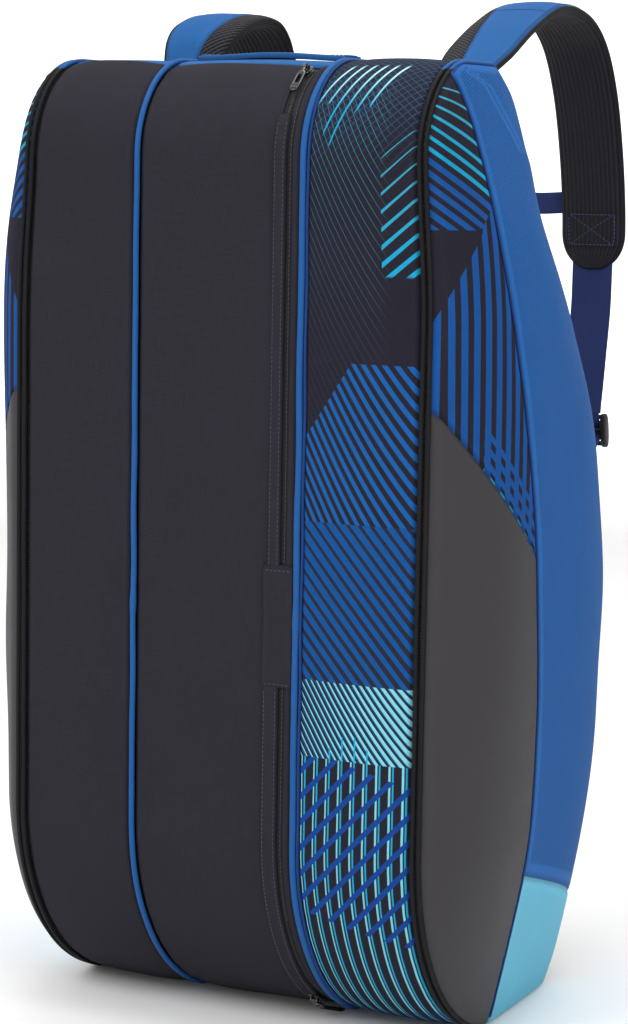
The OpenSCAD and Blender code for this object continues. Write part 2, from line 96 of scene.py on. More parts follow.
HEIGHT, FRONT, TOP_R, BASE_R, BASE_DIP = 0.770, -0.210, 0.075, 0.178, 0.005
HALF, SEAM, RIM, RIM_T, DOME = 0.072, 0.170, 0.1766, 0.007, 0.048
ZIP_X = 0.054
BACK_EDGE = np.array([[0, 50], [30, 78], [80, 104], [170, 128], [270, 137], [370, 133], [470, 103],
                      [560, 45], [640, -15], [700, -42], [745, -56], [770, -85]]) / 1000
BLUE_EDGE = np.array([[0, -73], [40, -88], [113, -97], [223, -98], [386, -110], [504, -137], [600, -158],
                      [640, -164], [697, -166], [731, -168], [753, -172], [770, -176]]) / 1000
GREY_FRONT_Z, GREY_BACK_Z, CORNER_FRONT_Z, CORNER_BACK_Z = 0.512, 0.393, 0.136, 0.070


def front_edge(z):
    """Depth of the bag's front at a height: base corner, straight front, top corner"""
    low = FRONT + BASE_R - np.sqrt(np.maximum(0, BASE_R**2 - (BASE_R - BASE_DIP - z) ** 2))
    high = FRONT + TOP_R - np.sqrt(np.maximum(0, TOP_R**2 - (z - HEIGHT + TOP_R) ** 2))
    return np.where(z < BASE_R - BASE_DIP, low, np.where(z > HEIGHT - TOP_R, high, FRONT))


def hermite(points, z):
    """A smooth curve through points, as (height, depth)"""
    zs, ys = points[:, 0], points[:, 1]
    last = len(zs) - 1
    i = np.clip(np.searchsorted(zs, z, side="right") - 1, 0, last - 1)
    slope = np.array([(ys[min(last, k + 1)] - ys[max(0, k - 1)]) / (zs[min(last, k + 1)] - zs[max(0, k - 1)])
                      for k in range(last + 1)])
    h = zs[i + 1] - zs[i]
    t = (z - zs[i]) / h
    return (ys[i] * (1 + 2 * t) * (1 - t) ** 2 + ys[i + 1] * t * t * (3 - 2 * t)
            + h * (slope[i] * t * (1 - t) ** 2 - slope[i + 1] * t * t * (1 - t)))


def back_edge(z):
    """Depth of the bag's back at a height"""
    return hermite(BACK_EDGE, np.clip(z, 0, HEIGHT))


def blue_edge(z):
    """Depth of the seam between the printed and the blue panel at a height"""
    return np.maximum(hermite(BLUE_EDGE, np.clip(z, 0, HEIGHT)), front_edge(z) + 0.0012)


def cover_x(y, z):
    """How far out the face of a side cover lies"""
    f, b = front_edge(z), back_edge(z)
    u = np.clip((2 * y - f - b) / (b - f), -1, 1)
    return RIM + RIM_T + DOME * (1 - np.abs(u) ** np.where(u < 0, 4, 2.6)) * (1 - np.abs(2 * z / HEIGHT - 1) ** 3.4)


class Path:
    """A line in the side plane (depth, height), read by the distance along it. Its left side is outside."""

    def __init__(self, points):
        self.p = np.array(points, float)
        self.s = np.r_[0, np.cumsum(np.hypot(*np.diff(self.p, axis=0).T))]
        self.length = self.s[-1]

    def at(self, s):
        s = np.asarray(s, float)
        inside = np.stack([np.interp(s, self.s, self.p[:, k]) for k in (0, 1)], -1)
        start = (self.p[1] - self.p[0]) / (self.s[1] - self.s[0])
        end = (self.p[-1] - self.p[-2]) / (self.s[-1] - self.s[-2])
        return inside + np.minimum(s, 0)[..., None] * start + np.maximum(s - self.length, 0)[..., None] * end

    def along(self, s, step=0.003):
        d = self.at(np.asarray(s) + step) - self.at(np.asarray(s) - step)
        return d / np.linalg.norm(d, axis=-1, keepdims=True)

    def out(self, s, step=0.003):
        d = self.along(s, step)
        return np.stack([-d[..., 1], d[..., 0]], -1)

    def at_height(self, z, front=True):
        """Distance along the path at a height"""
        zs = self.p[:, 1] if front else self.p[::-1, 1]
        ss = self.s if front else self.s[::-1]
        return float(np.interp(z, zs, ss))


def front_points():
    """The front's line in the side plane, from the base round the front to the top"""
    a0 = math.acos((BASE_R - BASE_DIP) / BASE_R)
    base = [(FRONT + BASE_R * (1 - math.sin(a)), BASE_R - BASE_DIP - BASE_R * math.cos(a))
            for a in np.linspace(a0, math.pi / 2, 90)]
    rise = [(FRONT, z) for z in np.linspace(BASE_R - BASE_DIP, HEIGHT - TOP_R, 60)[1:]]
    top = [(FRONT + TOP_R * (1 - math.cos(a)), HEIGHT - TOP_R + TOP_R * math.sin(a))
           for a in np.linspace(0, math.pi / 2, 50)[1:]]
    return base + rise + top + [(y, HEIGHT) for y in np.linspace(FRONT + TOP_R, -0.085, 12)[1:]]


FRONT_PATH = Path(front_points())
BACK_PATH = Path([(float(back_edge(z)), z) for z in np.linspace(HEIGHT, 0, 160)])
BASE_Y, BASE_BACK = float(FRONT_PATH.p[0, 0]), float(BACK_EDGE[0, 1])


def smooth(t):
    t = np.clip(t, 0, 1)
    return t * t * (3 - 2 * t)


def ripple(a, b, size, seed):
    """Gentle waves over two coordinates, from about -1 to 1, the same at each run"""
    rng = np.random.RandomState(seed)
    total = 0
    for _ in range(7):
        turn, pace, start = rng.uniform(0, math.tau), rng.uniform(0.6, 1.7), rng.uniform(0, math.tau)
        total = total + np.sin((a * math.cos(turn) + b * math.sin(turn)) * math.tau * pace / size + start)
    return total / 4.4


# ---------------------------------------------------------------- materials


def rgb(r, g, b, a=1.0):
    """Linear colour of an sRGB one given from 0 to 255"""
    return tuple(c / 12.92 if c <= 0.04045 else ((c + 0.055) / 1.055) ** 2.4
                 for c in (r / 255, g / 255, b / 255)) + (a,)


class Tree:
    now = None


class Val:
    """A number worked out by shader nodes, with ordinary arithmetic"""

    def __init__(self, socket):
        self.s = socket

    def __add__(self, o):
        return calc("ADD", self, o)

    def __radd__(self, o):
        return calc("ADD", o, self)

    def __sub__(self, o):
        return calc("SUBTRACT", self, o)

    def __rsub__(self, o):
        return calc("SUBTRACT", o, self)

    def __mul__(self, o):
        return calc("MULTIPLY", self, o)

    def __rmul__(self, o):
        return calc("MULTIPLY", o, self)

    def __truediv__(self, o):
        return calc("DIVIDE", self, o)


def feed(socket, value):
    if isinstance(value, Val):
        Tree.now.links.new(value.s, socket)
    else:
        socket.default_value = value


def node(kind, **settings):
    n = Tree.now.nodes.new("ShaderNode" + kind)
    for k, v in settings.items():
        setattr(n, k, v)
    return n


def calc(operation, *args):
    n = node("Math", operation=operation)
    for socket, a in zip(n.inputs, args):
        feed(socket, a)
    return Val(n.outputs[0])


def ramp(x, low, high, to_low=0.0, to_high=1.0):
    """x from low to high, as a value from to_low to to_high"""
    n = node("MapRange", clamp=True)
    for socket, a in zip(n.inputs, (x, low, high, to_low, to_high)):
        feed(socket, a)
    return Val(n.outputs[0])


def both(a, b):
    """A value that is 1 where a and b are 1"""
    return calc("MULTIPLY", a, b)


def either(a, b):
    """The larger of two values"""
    return calc("MAXIMUM", a, b)


def between(x, low, high, soft=0.0002):
    """1 from low to high, with soft ends"""
    return both(ramp(x, low - soft, low + soft), ramp(x, high + soft, high - soft))


def band(q, pitch, width, soft=0.00022):
    """1 on stripes of a width, centred on the multiples of pitch"""
    d = calc("PINGPONG", q, pitch / 2)
    if isinstance(width, Val):
        return ramp(d - width * 0.5, soft, -soft)
    return ramp(d, width / 2 + soft, width / 2 - soft)


def blendv(share, a, b):
    """a where share is 0, b where it is 1"""
    return a + (b - a) * share


def vector(x, y):
    n = node("CombineXYZ")
    for socket, a in zip(n.inputs, (x, y)):
        feed(socket, a)
    return Val(n.outputs[0])


def grain(x, y, size, detail=2.0):
    """Noise from 0 to 1 over two coordinates; size is one number or one for each"""
    sx, sy = size if isinstance(size, tuple) else (size, size)
    n = node("TexNoise")
    feed(n.inputs["Vector"], vector(x * (1 / sx), y * (1 / sy)))
    n.inputs["Scale"].default_value = 1.0
    n.inputs["Detail"].default_value = detail
    return Val(n.outputs["Fac"])


def blendc(share, a, b):
    n = node("Mix", data_type="RGBA")
    feed(n.inputs[0], share)
    feed(n.inputs[6], a)
    feed(n.inputs[7], b)
    return Val(n.outputs[2])


def shade(colour, factor):
    """The colour times a number"""
    n = node("Mix", data_type="RGBA", blend_type="MULTIPLY")
    n.inputs[0].default_value = 1.0
    feed(n.inputs[6], colour)
    c = node("CombineColor")
    for socket in c.inputs:
        feed(socket, factor)
    feed(n.inputs[7], Val(c.outputs[0]))
    return Val(n.outputs[2])


def cloth_place():
    """Distances across and along the fabric, and to the nearest seam, in metres"""
    a = node("Attribute", attribute_name="cloth")
    split = node("SeparateXYZ")
    Tree.now.links.new(a.outputs["Vector"], split.inputs[0])
    return tuple(Val(o) for o in split.outputs)


def start_material(name):
    """A material's empty node tree and its surface node"""
    m = bpy.data.materials.new(name)
    m.use_nodes = True
    Tree.now = m.node_tree
    Tree.now.nodes.clear()
    out, surface = node("OutputMaterial"), node("BsdfPrincipled")
    Tree.now.links.new(surface.outputs[0], out.inputs[0])
    return m, surface


def finish_material(surface, colour, rough, height=None, depth=1.0, coat=0.0, sheen=0.0, specular=0.5):
    """Wires colour, roughness and relief into the surface"""
    feed(surface.inputs["Base Color"], colour)
    feed(surface.inputs["Roughness"], rough)
    surface.inputs["Coat Weight"].default_value = coat
    surface.inputs["Coat Roughness"].default_value = 0.1
    surface.inputs["Specular IOR Level"].default_value = specular
    surface.inputs["Sheen Weight"].default_value = sheen
    surface.inputs["Sheen Roughness"].default_value = 0.45
    if height is not None:
        bump = node("Bump")
        bump.inputs["Strength"].default_value = 1.0
        bump.inputs["Distance"].default_value = depth
        feed(bump.inputs["Height"], height)
        Tree.now.links.new(bump.outputs[0], surface.inputs["Normal"])


def threads(u, v, pitch):
    """Relief of a plain weave, from -1 to 1, with thicker and thinner threads"""
    turn = math.tau / pitch
    wobble = (grain(u, v, 0.004) - 0.5) * 0.5
    return calc("SINE", u * turn + wobble) * calc("SINE", v * turn + wobble)


def slub(u, v, pitch):
    """Lighter and darker threads in both directions, about 0.5"""
    return (grain(u, v, (pitch * 1.4, pitch * 26)) + grain(u, v, (pitch * 26, pitch * 1.4))) * 0.5


def mottle_and_painted_seam_light(colour, u, v, seam, amount=1.0):
    """Painted shade darkens the seams and a patchy painted highlight lightens the ridge beside them, with faint broad
    mottling
    """
    mottled = (grain(u, v, 0.06, 3.0) - 0.5) * (0.16 * amount)
    # painted shade darkens the fabric in its seams, and a patchy painted highlight lightens the ridge beside them
    painted_seam_shade = ramp(seam, 0.0, 0.004, 0.62, 1.0)
    painted_ridge_highlight = between(seam, 0.004, 0.0075, 0.0015) * (grain(u, v, 0.012, 3.0)) * (0.16 * amount)
    return shade(colour, (1.0 + mottled + painted_ridge_highlight) * painted_seam_shade)


def woven(name, colour, pitch=0.0008, rough=0.86, contrast=0.42, depth=0.00012, sheen=0.12, specular=0.3):
    """Plain weave with uneven threads"""
    m, surface = start_material(name)
    u, v, seam = cloth_place()
    relief = threads(u, v, pitch)
    uneven = slub(u, v, pitch)
    tone = 1.0 + (uneven - 0.5) * contrast + relief * (contrast * 0.22)
    shown = mottle_and_painted_seam_light(shade(colour, tone), u, v, seam)
    finish_material(surface, shown, rough + (uneven - 0.5) * 0.12, relief + uneven * 1.5, depth, sheen=sheen,
                    specular=specular)
    return m


def ribbed(name, colour, dark, edge, pitch=0.0021, lean=0.38):
    """Fabric with fine diagonal ribs, and a plain strip as wide as edge beside each seam"""
    m, surface = start_material(name)
    u, v, seam = cloth_place()
    q = v - u * lean + (grain(u, v, 0.05) - 0.5) * 0.0006
    rib = calc("SINE", q * (math.tau / pitch)) * 0.5 + 0.5
    rib = rib * ramp(seam, edge, edge + 0.002)
    fine = threads(u, v, 0.0006)
    uneven = slub(u, v, 0.0006)
    tone = 1.0 + (uneven - 0.5) * 0.3 + fine * 0.05
    shown = mottle_and_painted_seam_light(shade(blendc(rib * 0.75, colour, dark), tone), u, v, seam)
    finish_material(surface, shown, 0.66 + rib * 0.1, rib * -1.0 + fine * 0.08, 0.0004, specular=0.08)
    return m


BLACK_TEXT = rgb(41, 39, 47)
NAVY_BLACK = rgb(36, 35, 46)
DEEP_BLUE = rgb(24, 66, 142)
CYAN = rgb(28, 158, 200)
PALE = rgb(128, 202, 218)
TEAL = rgb(62, 150, 172)


def finish_print(surface, colour, u, v, seam):
    """The weave, mottling, painted seam shade and ridge highlight, and dull surface of a printed fabric"""
    relief = threads(u, v, 0.0008)
    uneven = slub(u, v, 0.0008)
    tone = 1.0 + (uneven - 0.5) * 0.4 + relief * 0.08
    finish_material(surface, mottle_and_painted_seam_light(shade(colour, tone), u, v, seam), 0.8 + (uneven - 0.5) * 0.12,
                    relief + uneven * 1.5, 0.00012, specular=0.08)


def print_front(name):
    """The right gusset's print: u is the distance from the middle of the bag, v the distance up the front"""
    m, surface = start_material(name)
    u, v, seam = cloth_place()
    w = u - 0.074
    # stripes that fall to the right, steeper on the left
    fall = v + w * 2.05 - w * w * 5.2
    colour = NAVY_BLACK
    # faint lines over the plain part, teal towards the top
    faint = band(fall, 0.0094, 0.0007, 0.0003) * between(v, 0.500, 0.812, 0.03) * ramp(w, 0.075, 0.06)
    high = ramp(v, 0.62, 0.79)
    colour = blendc(faint * ramp(v, 0.55, 0.76, 0.35, 0.9), colour, blendc(high, rgb(62, 70, 100), TEAL))
    # lattice near the top
    rise = v - w * 0.9
    net = band(rise, 0.0075, 0.0008, 0.0003) * ramp(v, 0.745, 0.79)
    net2 = band(v + w * 0.8, 0.0066, 0.0007, 0.0003) * ramp(v, 0.765, 0.80)
    colour = blendc(either(net, net2) * 0.6, colour, rgb(46, 96, 140))
    # thick rising stripes on the right
    up = v - w * 0.80
    column = between(w, 0.067, 0.2) * between(v, 0.674, 0.782, 0.001) * ramp(v - w * 1.6, 0.655, 0.650)
    width = ramp(v, 0.674, 0.775, 0.0046, 0.0008)
    colour = blendc(both(band(up, 0.0131, width), column), colour, blendc(ramp(v, 0.69, 0.76), CYAN, TEAL))
    # slanted strokes at the top
    stroke_q = w - (v - 0.845) * 0.38
    reach = ramp(calc("SINE", stroke_q * 170.0) * 0.018 + v, 0.785, 0.787)
    stroke = both(band(stroke_q, 0.0098, ramp(v, 0.77, 0.84, 0.0012, 0.0022)), reach)
    stroke = both(stroke, between(stroke_q, 0.012, 0.073) * ramp(v, 0.848, 0.843))
    colour = blendc(stroke, colour, blendc(ramp(v, 0.80, 0.835), CYAN, rgb(175, 225, 235)))
    # blue stripes on black
    zone = between(v, 0.486, 0.608) * ramp(v - (w - 0.003) * 1.49, 0.5502, 0.5498)
    colour = blendc(both(band(fall, 0.0125, 0.0060), zone), colour, rgb(24, 90, 160))
    # brighter blue with thin dark stripes
    fall2 = v + w * 1.16
    zone = between(v, 0.3635, 0.486)
    gap = ramp(v - w * 0.9, 0.28, 0.46, 0.0062, 0.0036)
    stripes = blendc(band(fall2, 0.0116, gap), rgb(18, 80, 146), rgb(40, 40, 56))
    colour = blendc(zone, colour, stripes)
    # pale stripes, wider to the right
    fall3 = v + w * 1.75 - w * w * 3.6
    zone = between(v, 0.3035, 0.3635)
    pale = band(fall3, 0.0080, ramp(w, 0.0, 0.092, 0.0015, 0.0046))
    under = blendc(band(fall3 + 0.002, 0.0080, 0.0035), NAVY_BLACK, rgb(24, 74, 120))
    colour = blendc(zone, colour, blendc(pale, under, PALE))
    # upright double lines, and bars that cross them
    upright = w - 0.00525
    tall = ramp(calc("SINE", w * 62.0 - 1.3) * 0.022 + 0.302 - v, 0.0, 0.001)
    lines = between(v, -0.1, 0.3035)
    pale_w = ramp(w, 0.0, 0.09, 0.0009, 0.0018)
    colour = blendc(both(band(upright, 0.0107, pale_w), lines), colour, PALE)
    colour = blendc(both(band(upright - 0.0027, 0.0107, 0.0013), either(lines, both(tall, between(v, 0.3, 0.34)))),
                    colour, CYAN)
    bars = both(band(v - w * 1.06, 0.0205, 0.0060), between(v + w * 0.25, 0.178, 0.312) * ramp(v, 0.3035, 0.3031))
    colour = blendc(bars, colour, DEEP_BLUE)
    # fine hatching under the base corner
    hatch = both(band(v - w * 0.35, 0.0042, 0.0018), ramp(v - w * 0.25, 0.048, 0.040))
    colour = blendc(hatch, colour, rgb(28, 52, 104))
    finish_print(surface, colour, u, v, seam)
    return m


def print_side(name):
    """The covers' print: u is the distance over the cover from its front edge and v the height"""
    m, surface = start_material(name)
    u, v, seam = cloth_place()
    colour = NAVY_BLACK
    blue = rgb(25, 78, 146)

    def fall(place):
        return 0.705 - ramp(place, 0.690, 0.725, 0.0, 0.145) - ramp(place, 0.725, 0.752, 0.0, 0.335)

    # a fan of lines that fall to the back: thin and teal at the top, then cyan, then wide and blue
    start = v + fall(v + u * 0.5) * u
    start = v + fall(start) * u
    k = (calc("SQRT", either(31.36 + (0.7565 - start) * 800.0, 0.0)) - 5.6) * 2.5
    line = calc("PINGPONG", k, 0.5)
    thin = both(ramp(line - ramp(k, 1.0, 7.0, 0.07, 0.19), 0.035, -0.035), between(k, 0.5, 7.45, 0.02))
    colour = blendc(thin, colour, blendc(ramp(k, 1.0, 5.0), TEAL, rgb(24, 150, 190)))
    low = either(0.6452, (u - 0.0461) * 1.1 + 0.6478)
    wide = both(ramp(line, 0.29, 0.25), ramp(k, 7.48, 7.52))
    colour = blendc(both(wide, ramp(v - low, -0.0002, 0.0002)), colour, blue)
    # upright stripes that start on a slant
    tops = either((u - 0.0112) * 1.56 + 0.5889, 0.0)
    tops = blendv(ramp(u, 0.0458, 0.0462), tops, (u - 0.0461) * 1.1 + 0.6478)
    leaned = u + (v - 0.46) * 0.023
    upright = both(band(leaned - 0.0517, 0.0104, 0.0056), ramp(u, 0.0148, 0.0152))
    upright = either(upright, between(u, 0.0012, 0.0098))
    upright = both(upright, ramp(v - tops, 0.0002, -0.0002))
    colour = blendc(upright, colour, blue)
    # bars that cross them just above the coated panel, cyan along the seam
    q = v + u * 1.07 - 0.5122
    bars = both(band(q - 0.0140, 0.0112, 0.0056), between(q, 0.009, 0.041))
    near = ramp(u, 0.0478, 0.0482)
    colour = blendc(both(bars, near), colour, blue)
    cyan_bar = both(between(q, -0.002, 0.0072), both(near, ramp(upright, 0.6, 0.4)))
    colour = blendc(cyan_bar, colour, rgb(30, 150, 196))
    finish_print(surface, colour, u, v, seam)
    return m


def coated(name, colour):
    """Smooth coated fabric: fine leather-like grain with a soft sheen"""
    m, surface = start_material(name)
    u, v, seam = cloth_place()
    cells = node("TexVoronoi", feature="DISTANCE_TO_EDGE")
    feed(cells.inputs["Vector"], vector(u * 900.0, v * 900.0))
    cells.inputs["Scale"].default_value = 1.0
    pores = ramp(Val(cells.outputs["Distance"]), 0.0, 0.25)
    broad = grain(u, v, 0.035, 4.0)
    shown = mottle_and_painted_seam_light(shade(colour, 0.95 + broad * 0.12), u, v, seam, 0.5)
    finish_material(surface, shown, 0.44 + broad * 0.14 - pores * 0.04, pores + broad * 2.0, 0.00006, specular=0.18)
    return m


def air_mesh(name, colour, deep, pitch=0.0042, upright=True):
    """Spacer mesh: raised cords with rows of small holes between them, upright or in diamonds"""
    m, surface = start_material(name)
    u, v, seam = cloth_place()
    if upright:
        cord = calc("SINE", u * (math.tau / pitch)) * 0.5 + 0.5
        row = calc("SINE", v * (math.tau / (pitch * 0.62)) + calc("FLOOR", u * (1 / pitch)) * math.pi) * 0.5 + 0.5
    else:
        cord = calc("SINE", (u * 0.8 + v) * (math.tau / pitch)) * 0.5 + 0.5
        row = calc("SINE", (u * 0.8 - v) * (math.tau / pitch)) * 0.5 + 0.5
    hole = both(ramp(cord, 0.45, 0.15), ramp(row, 0.35, 0.75))
    uneven = slub(u, v, 0.0007)
    shown = mottle_and_painted_seam_light(shade(blendc(hole, colour, deep), 0.85 + uneven * 0.3), u, v, seam, 0.6)
    finish_material(surface, shown, 0.88 - cord * 0.1, cord + row * 0.25 - hole * 0.8, 0.0009, sheen=0.04,
                    specular=0.2)
    return m


def webbing(name, colour, pitch=0.0016):
    """Flat woven webbing: chevron ribs across it and fine warp threads along it"""
    m, surface = start_material(name)
    u, v, seam = cloth_place()
    chevron = calc("PINGPONG", u, 0.0032) * 0.9
    rib = calc("SINE", (v + chevron) * (math.tau / pitch)) * 0.5 + 0.5
    warp = calc("SINE", u * (math.tau / 0.0011)) * 0.5 + 0.5
    uneven = slub(u, v, 0.0009)
    shown = mottle_and_painted_seam_light(shade(colour, 0.72 + rib * 0.22 + warp * 0.08 + uneven * 0.2), u, v, seam, 0.6)
    finish_material(surface, shown, 0.62 + uneven * 0.15, rib + warp * 0.4, 0.0003, sheen=0.03, specular=0.25)
    return m


def cord_cover(name, colour, rough=0.5, pitch=0.0011):
    """Piping: a cord in bias-cut fabric, so the weave runs round it at a slant"""
    m, surface = start_material(name)
    u, v, _ = cloth_place()
    twill = calc("SINE", (v + u * 0.8) * (math.tau / pitch)) * 0.5 + 0.5
    uneven = slub(u, v, 0.0008)
    broad = grain(u, v, 0.02, 3.0)
    shown = shade(colour, 0.78 + twill * 0.14 + uneven * 0.16 + broad * 0.14)
    finish_material(surface, shown, rough + broad * 0.15, twill + uneven, 0.00014, specular=0.16)
    return m


def quilted(name, colour, pitch=0.0006):
    """Thin nylon lining with a faint ripstop grid"""
    m, surface = start_material(name)
    u, v, seam = cloth_place()
    grid = either(band(u, 0.006, 0.0005), band(v, 0.006, 0.0005))
    fine = threads(u, v, pitch)
    broad = grain(u, v, 0.05, 4.0)
    shown = mottle_and_painted_seam_light(shade(colour, 0.88 + broad * 0.2 + grid * 0.1), u, v, seam, 0.6)
    finish_material(surface, shown, 0.52 + broad * 0.16, fine * 0.5 + grid + broad * 3.0, 0.0001, sheen=0.03,
                    specular=0.3)
    return m


def tape(name, colour):
    """Zip tape: a narrow herringbone band"""
    m, surface = start_material(name)
    u, v, _ = cloth_place()
    q = v + calc("PINGPONG", u, 0.0016)
    rib = calc("SINE", q * (math.tau / 0.0012)) * 0.5 + 0.5
    finish_material(surface, shade(colour, 0.7 + rib * 0.4 + grain(u, v, 0.004) * 0.2), 0.8, rib, 0.0002, sheen=0.1,
                    specular=0.3)
    return m


def object_texture(kind, scale, detail=2.0, **settings):
    """A noise or wave over the piece's own coordinates"""
    n = node(kind, **settings)
    Tree.now.links.new(node("TexCoord").outputs["Object"], n.inputs["Vector"])
    n.inputs["Scale"].default_value = scale
    n.inputs["Detail"].default_value = detail
    return Val(n.outputs["Fac"])


def hard(name, colour, rough, coat=0.0, pit=0.00004):
    """Moulded or painted hardware: slight grain, scuffs and wear"""
    m, surface = start_material(name)
    fine = object_texture("TexNoise", 900.0, 3.0)
    scuffs = ramp(object_texture("TexNoise", 120.0, 4.0), 0.55, 0.75)
    finish_material(surface, shade(colour, 0.85 + scuffs * 0.5 + fine * 0.1), rough + scuffs * 0.2 + fine * 0.06,
                    fine, pit, coat=coat)
    return m


def thread_material(name, colour):
    """Twisted sewing thread"""
    m, surface = start_material(name)
    twist = object_texture("TexWave", 900.0, wave_type="BANDS")
    finish_material(surface, shade(colour, 0.75 + twist * 0.4), 0.55, twist, 0.0001, sheen=0.2)
    return m


M = {
    "black": woven("black_weave", BLACK_TEXT, contrast=0.75, sheen=0.0, specular=0.14),
    "base": woven("base_weave", rgb(40, 40, 46), pitch=0.0011, contrast=0.5, depth=0.00025),
    "blue_rib": ribbed("blue_rib", rgb(34, 92, 158), rgb(24, 70, 128), 0.0085),
    "blue": woven("blue_weave", rgb(37, 92, 152), pitch=0.0007, rough=0.7, contrast=0.3, sheen=0.0, specular=0.1),
    "print_front": print_front("print_front"),
    "print_side": print_side("print_side"),
    "grey": coated("grey_coated", rgb(54, 52, 55)),
    "cyan": woven("cyan_weave", rgb(98, 184, 212), pitch=0.0007, rough=0.7, contrast=0.25, sheen=0.03),
    "lining": quilted("lining_nylon", rgb(74, 78, 88)),
    "lining_blue": quilted("lining_blue", rgb(40, 62, 104)),
    "mesh": air_mesh("air_mesh", rgb(34, 34, 41), rgb(10, 10, 12)),
    "mesh_diamond": air_mesh("air_mesh_diamond", rgb(38, 38, 45), rgb(10, 10, 12), 0.0046, False),
    "navy_web": webbing("navy_webbing", rgb(30, 46, 98)),
    "piping": cord_cover("blue_piping", rgb(28, 84, 146)),
    "navy_piping": cord_cover("navy_piping", rgb(24, 54, 110)),
    "black_piping": cord_cover("black_piping", rgb(20, 19, 22), 0.55),
    "binding": cord_cover("black_binding", rgb(22, 22, 27), 0.6),
    "tape": tape("zip_tape", rgb(30, 30, 34)),
    "coil": hard("zip_coil", rgb(26, 26, 29), 0.42, pit=0.00002),
    "gloss": hard("gloss_black", rgb(14, 14, 16), 0.18, coat=0.6),
    "plastic": hard("moulded_plastic", rgb(26, 26, 28), 0.46, pit=0.0001),
    "board": hard("stiff_board", rgb(120, 118, 112), 0.7, pit=0.0002),
    "thread_black": thread_material("thread_black", rgb(58, 57, 62)),
    "thread_blue": thread_material("thread_blue", rgb(40, 92, 168)),
    "thread_navy": thread_material("thread_navy", rgb(44, 62, 112)),
}

# ---------------------------------------------------------------- mesh tools


SIDES = (("left", -1), ("right", 1))


class Shape:
    """Which bends apply to the pieces made from here on"""
    pinched = True
    leaning = False


def pinch(verts):
    """The outer compartments lean in a little towards the top"""
    v = np.array(verts, float)
    out = np.maximum(np.abs(v[:, 0]) - HALF, 0)
    v[:, 0] -= np.sign(v[:, 0]) * np.minimum(out, 0.12) * 0.068 * smooth((v[:, 2] - 0.57) / 0.15)
    return v


def lean(verts):
    """The left strap's loop turns a little, so its inner edge lies further back"""
    v = np.array(verts, float)
    share = smooth((v[:, 2] - 0.752) / 0.03) * smooth((0.120 - v[:, 1]) / 0.08)
    v[:, 1] += 0.30 * (v[:, 0] + 0.150) * share
    return v


def new_object(name, verts, faces, mats, cloth=None, indices=None, sharp=50, recalc=True):
    """A mesh object; cloth holds each point's fabric coordinates, which the materials read"""
    if Shape.pinched:
        verts = pinch(verts)
    if Shape.leaning:
        verts = lean(verts)
    mesh = bpy.data.meshes.new(name)
    mesh.from_pydata(np.asarray(verts, float).tolist(), [], [list(map(int, f)) for f in faces])
    if recalc:
        bm = bmesh.new()
        bm.from_mesh(mesh)
        bmesh.ops.recalc_face_normals(bm, faces=bm.faces)
        bm.to_mesh(mesh)
        bm.free()
    if cloth is not None:
        a = mesh.attributes.new("cloth", "FLOAT_VECTOR", "POINT")
        a.data.foreach_set("vector", np.asarray(cloth, np.float32).ravel())
    for m in mats:
        mesh.materials.append(M[m])
    if indices is not None:
        mesh.polygons.foreach_set("material_index", np.asarray(indices, np.int32))
    mesh.polygons.foreach_set("use_smooth", np.ones(len(mesh.polygons), bool))
    if sharp:
        mesh.set_sharp_from_angle(angle=math.radians(sharp))
    mesh.update()
    obj = bpy.data.objects.new(name, mesh)
    scene.collection.objects.link(obj)
    return obj


def grid_ids(rows, cols, start=0):
    ids = start + np.arange(rows * cols).reshape(rows, cols)
    return ids, np.stack([ids[:-1, :-1], ids[1:, :-1], ids[1:, 1:], ids[:-1, 1:]], -1).reshape(-1, 4)


def slab(name, outer, inner, cloth, mats):
    """A closed sheet of fabric from the grids of points of its two faces"""
    rows, cols = outer.shape[:2]
    n = rows * cols
    ids, quads = grid_ids(rows, cols)
    ring = np.concatenate([ids[0, :-1], ids[:-1, -1], ids[-1, :0:-1], ids[:0:-1, 0]])
    after = np.roll(ring, -1)
    walls = np.stack([ring, after, after + n, ring + n], -1)
    faces = np.concatenate([quads, n + quads[:, ::-1], walls])
    indices = np.r_[np.zeros(len(quads)), np.full(len(quads), len(mats) - 1), np.zeros(len(walls))]
    verts = np.concatenate([outer.reshape(-1, 3), inner.reshape(-1, 3)])
    both_sides = np.concatenate([cloth.reshape(-1, 3)] * 2)
    return new_object(name, verts, faces, mats, both_sides, indices)


def own(obj, body, nodes=()):
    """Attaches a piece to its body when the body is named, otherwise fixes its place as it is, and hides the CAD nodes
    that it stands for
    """
    if isinstance(body, str):
        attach(obj, body)
    else:
        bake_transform(obj)
    if nodes:
        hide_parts(*nodes)
    return obj


def spaced(low, high, count, crowd_share=0.25):
    """Positions from low to high, closer together near both ends"""
    t = np.linspace(0, 1, count)
    mixed = (1 - crowd_share) * t + crowd_share * (1 - np.cos(math.pi * t)) / 2
    return low + (high - low) * mixed


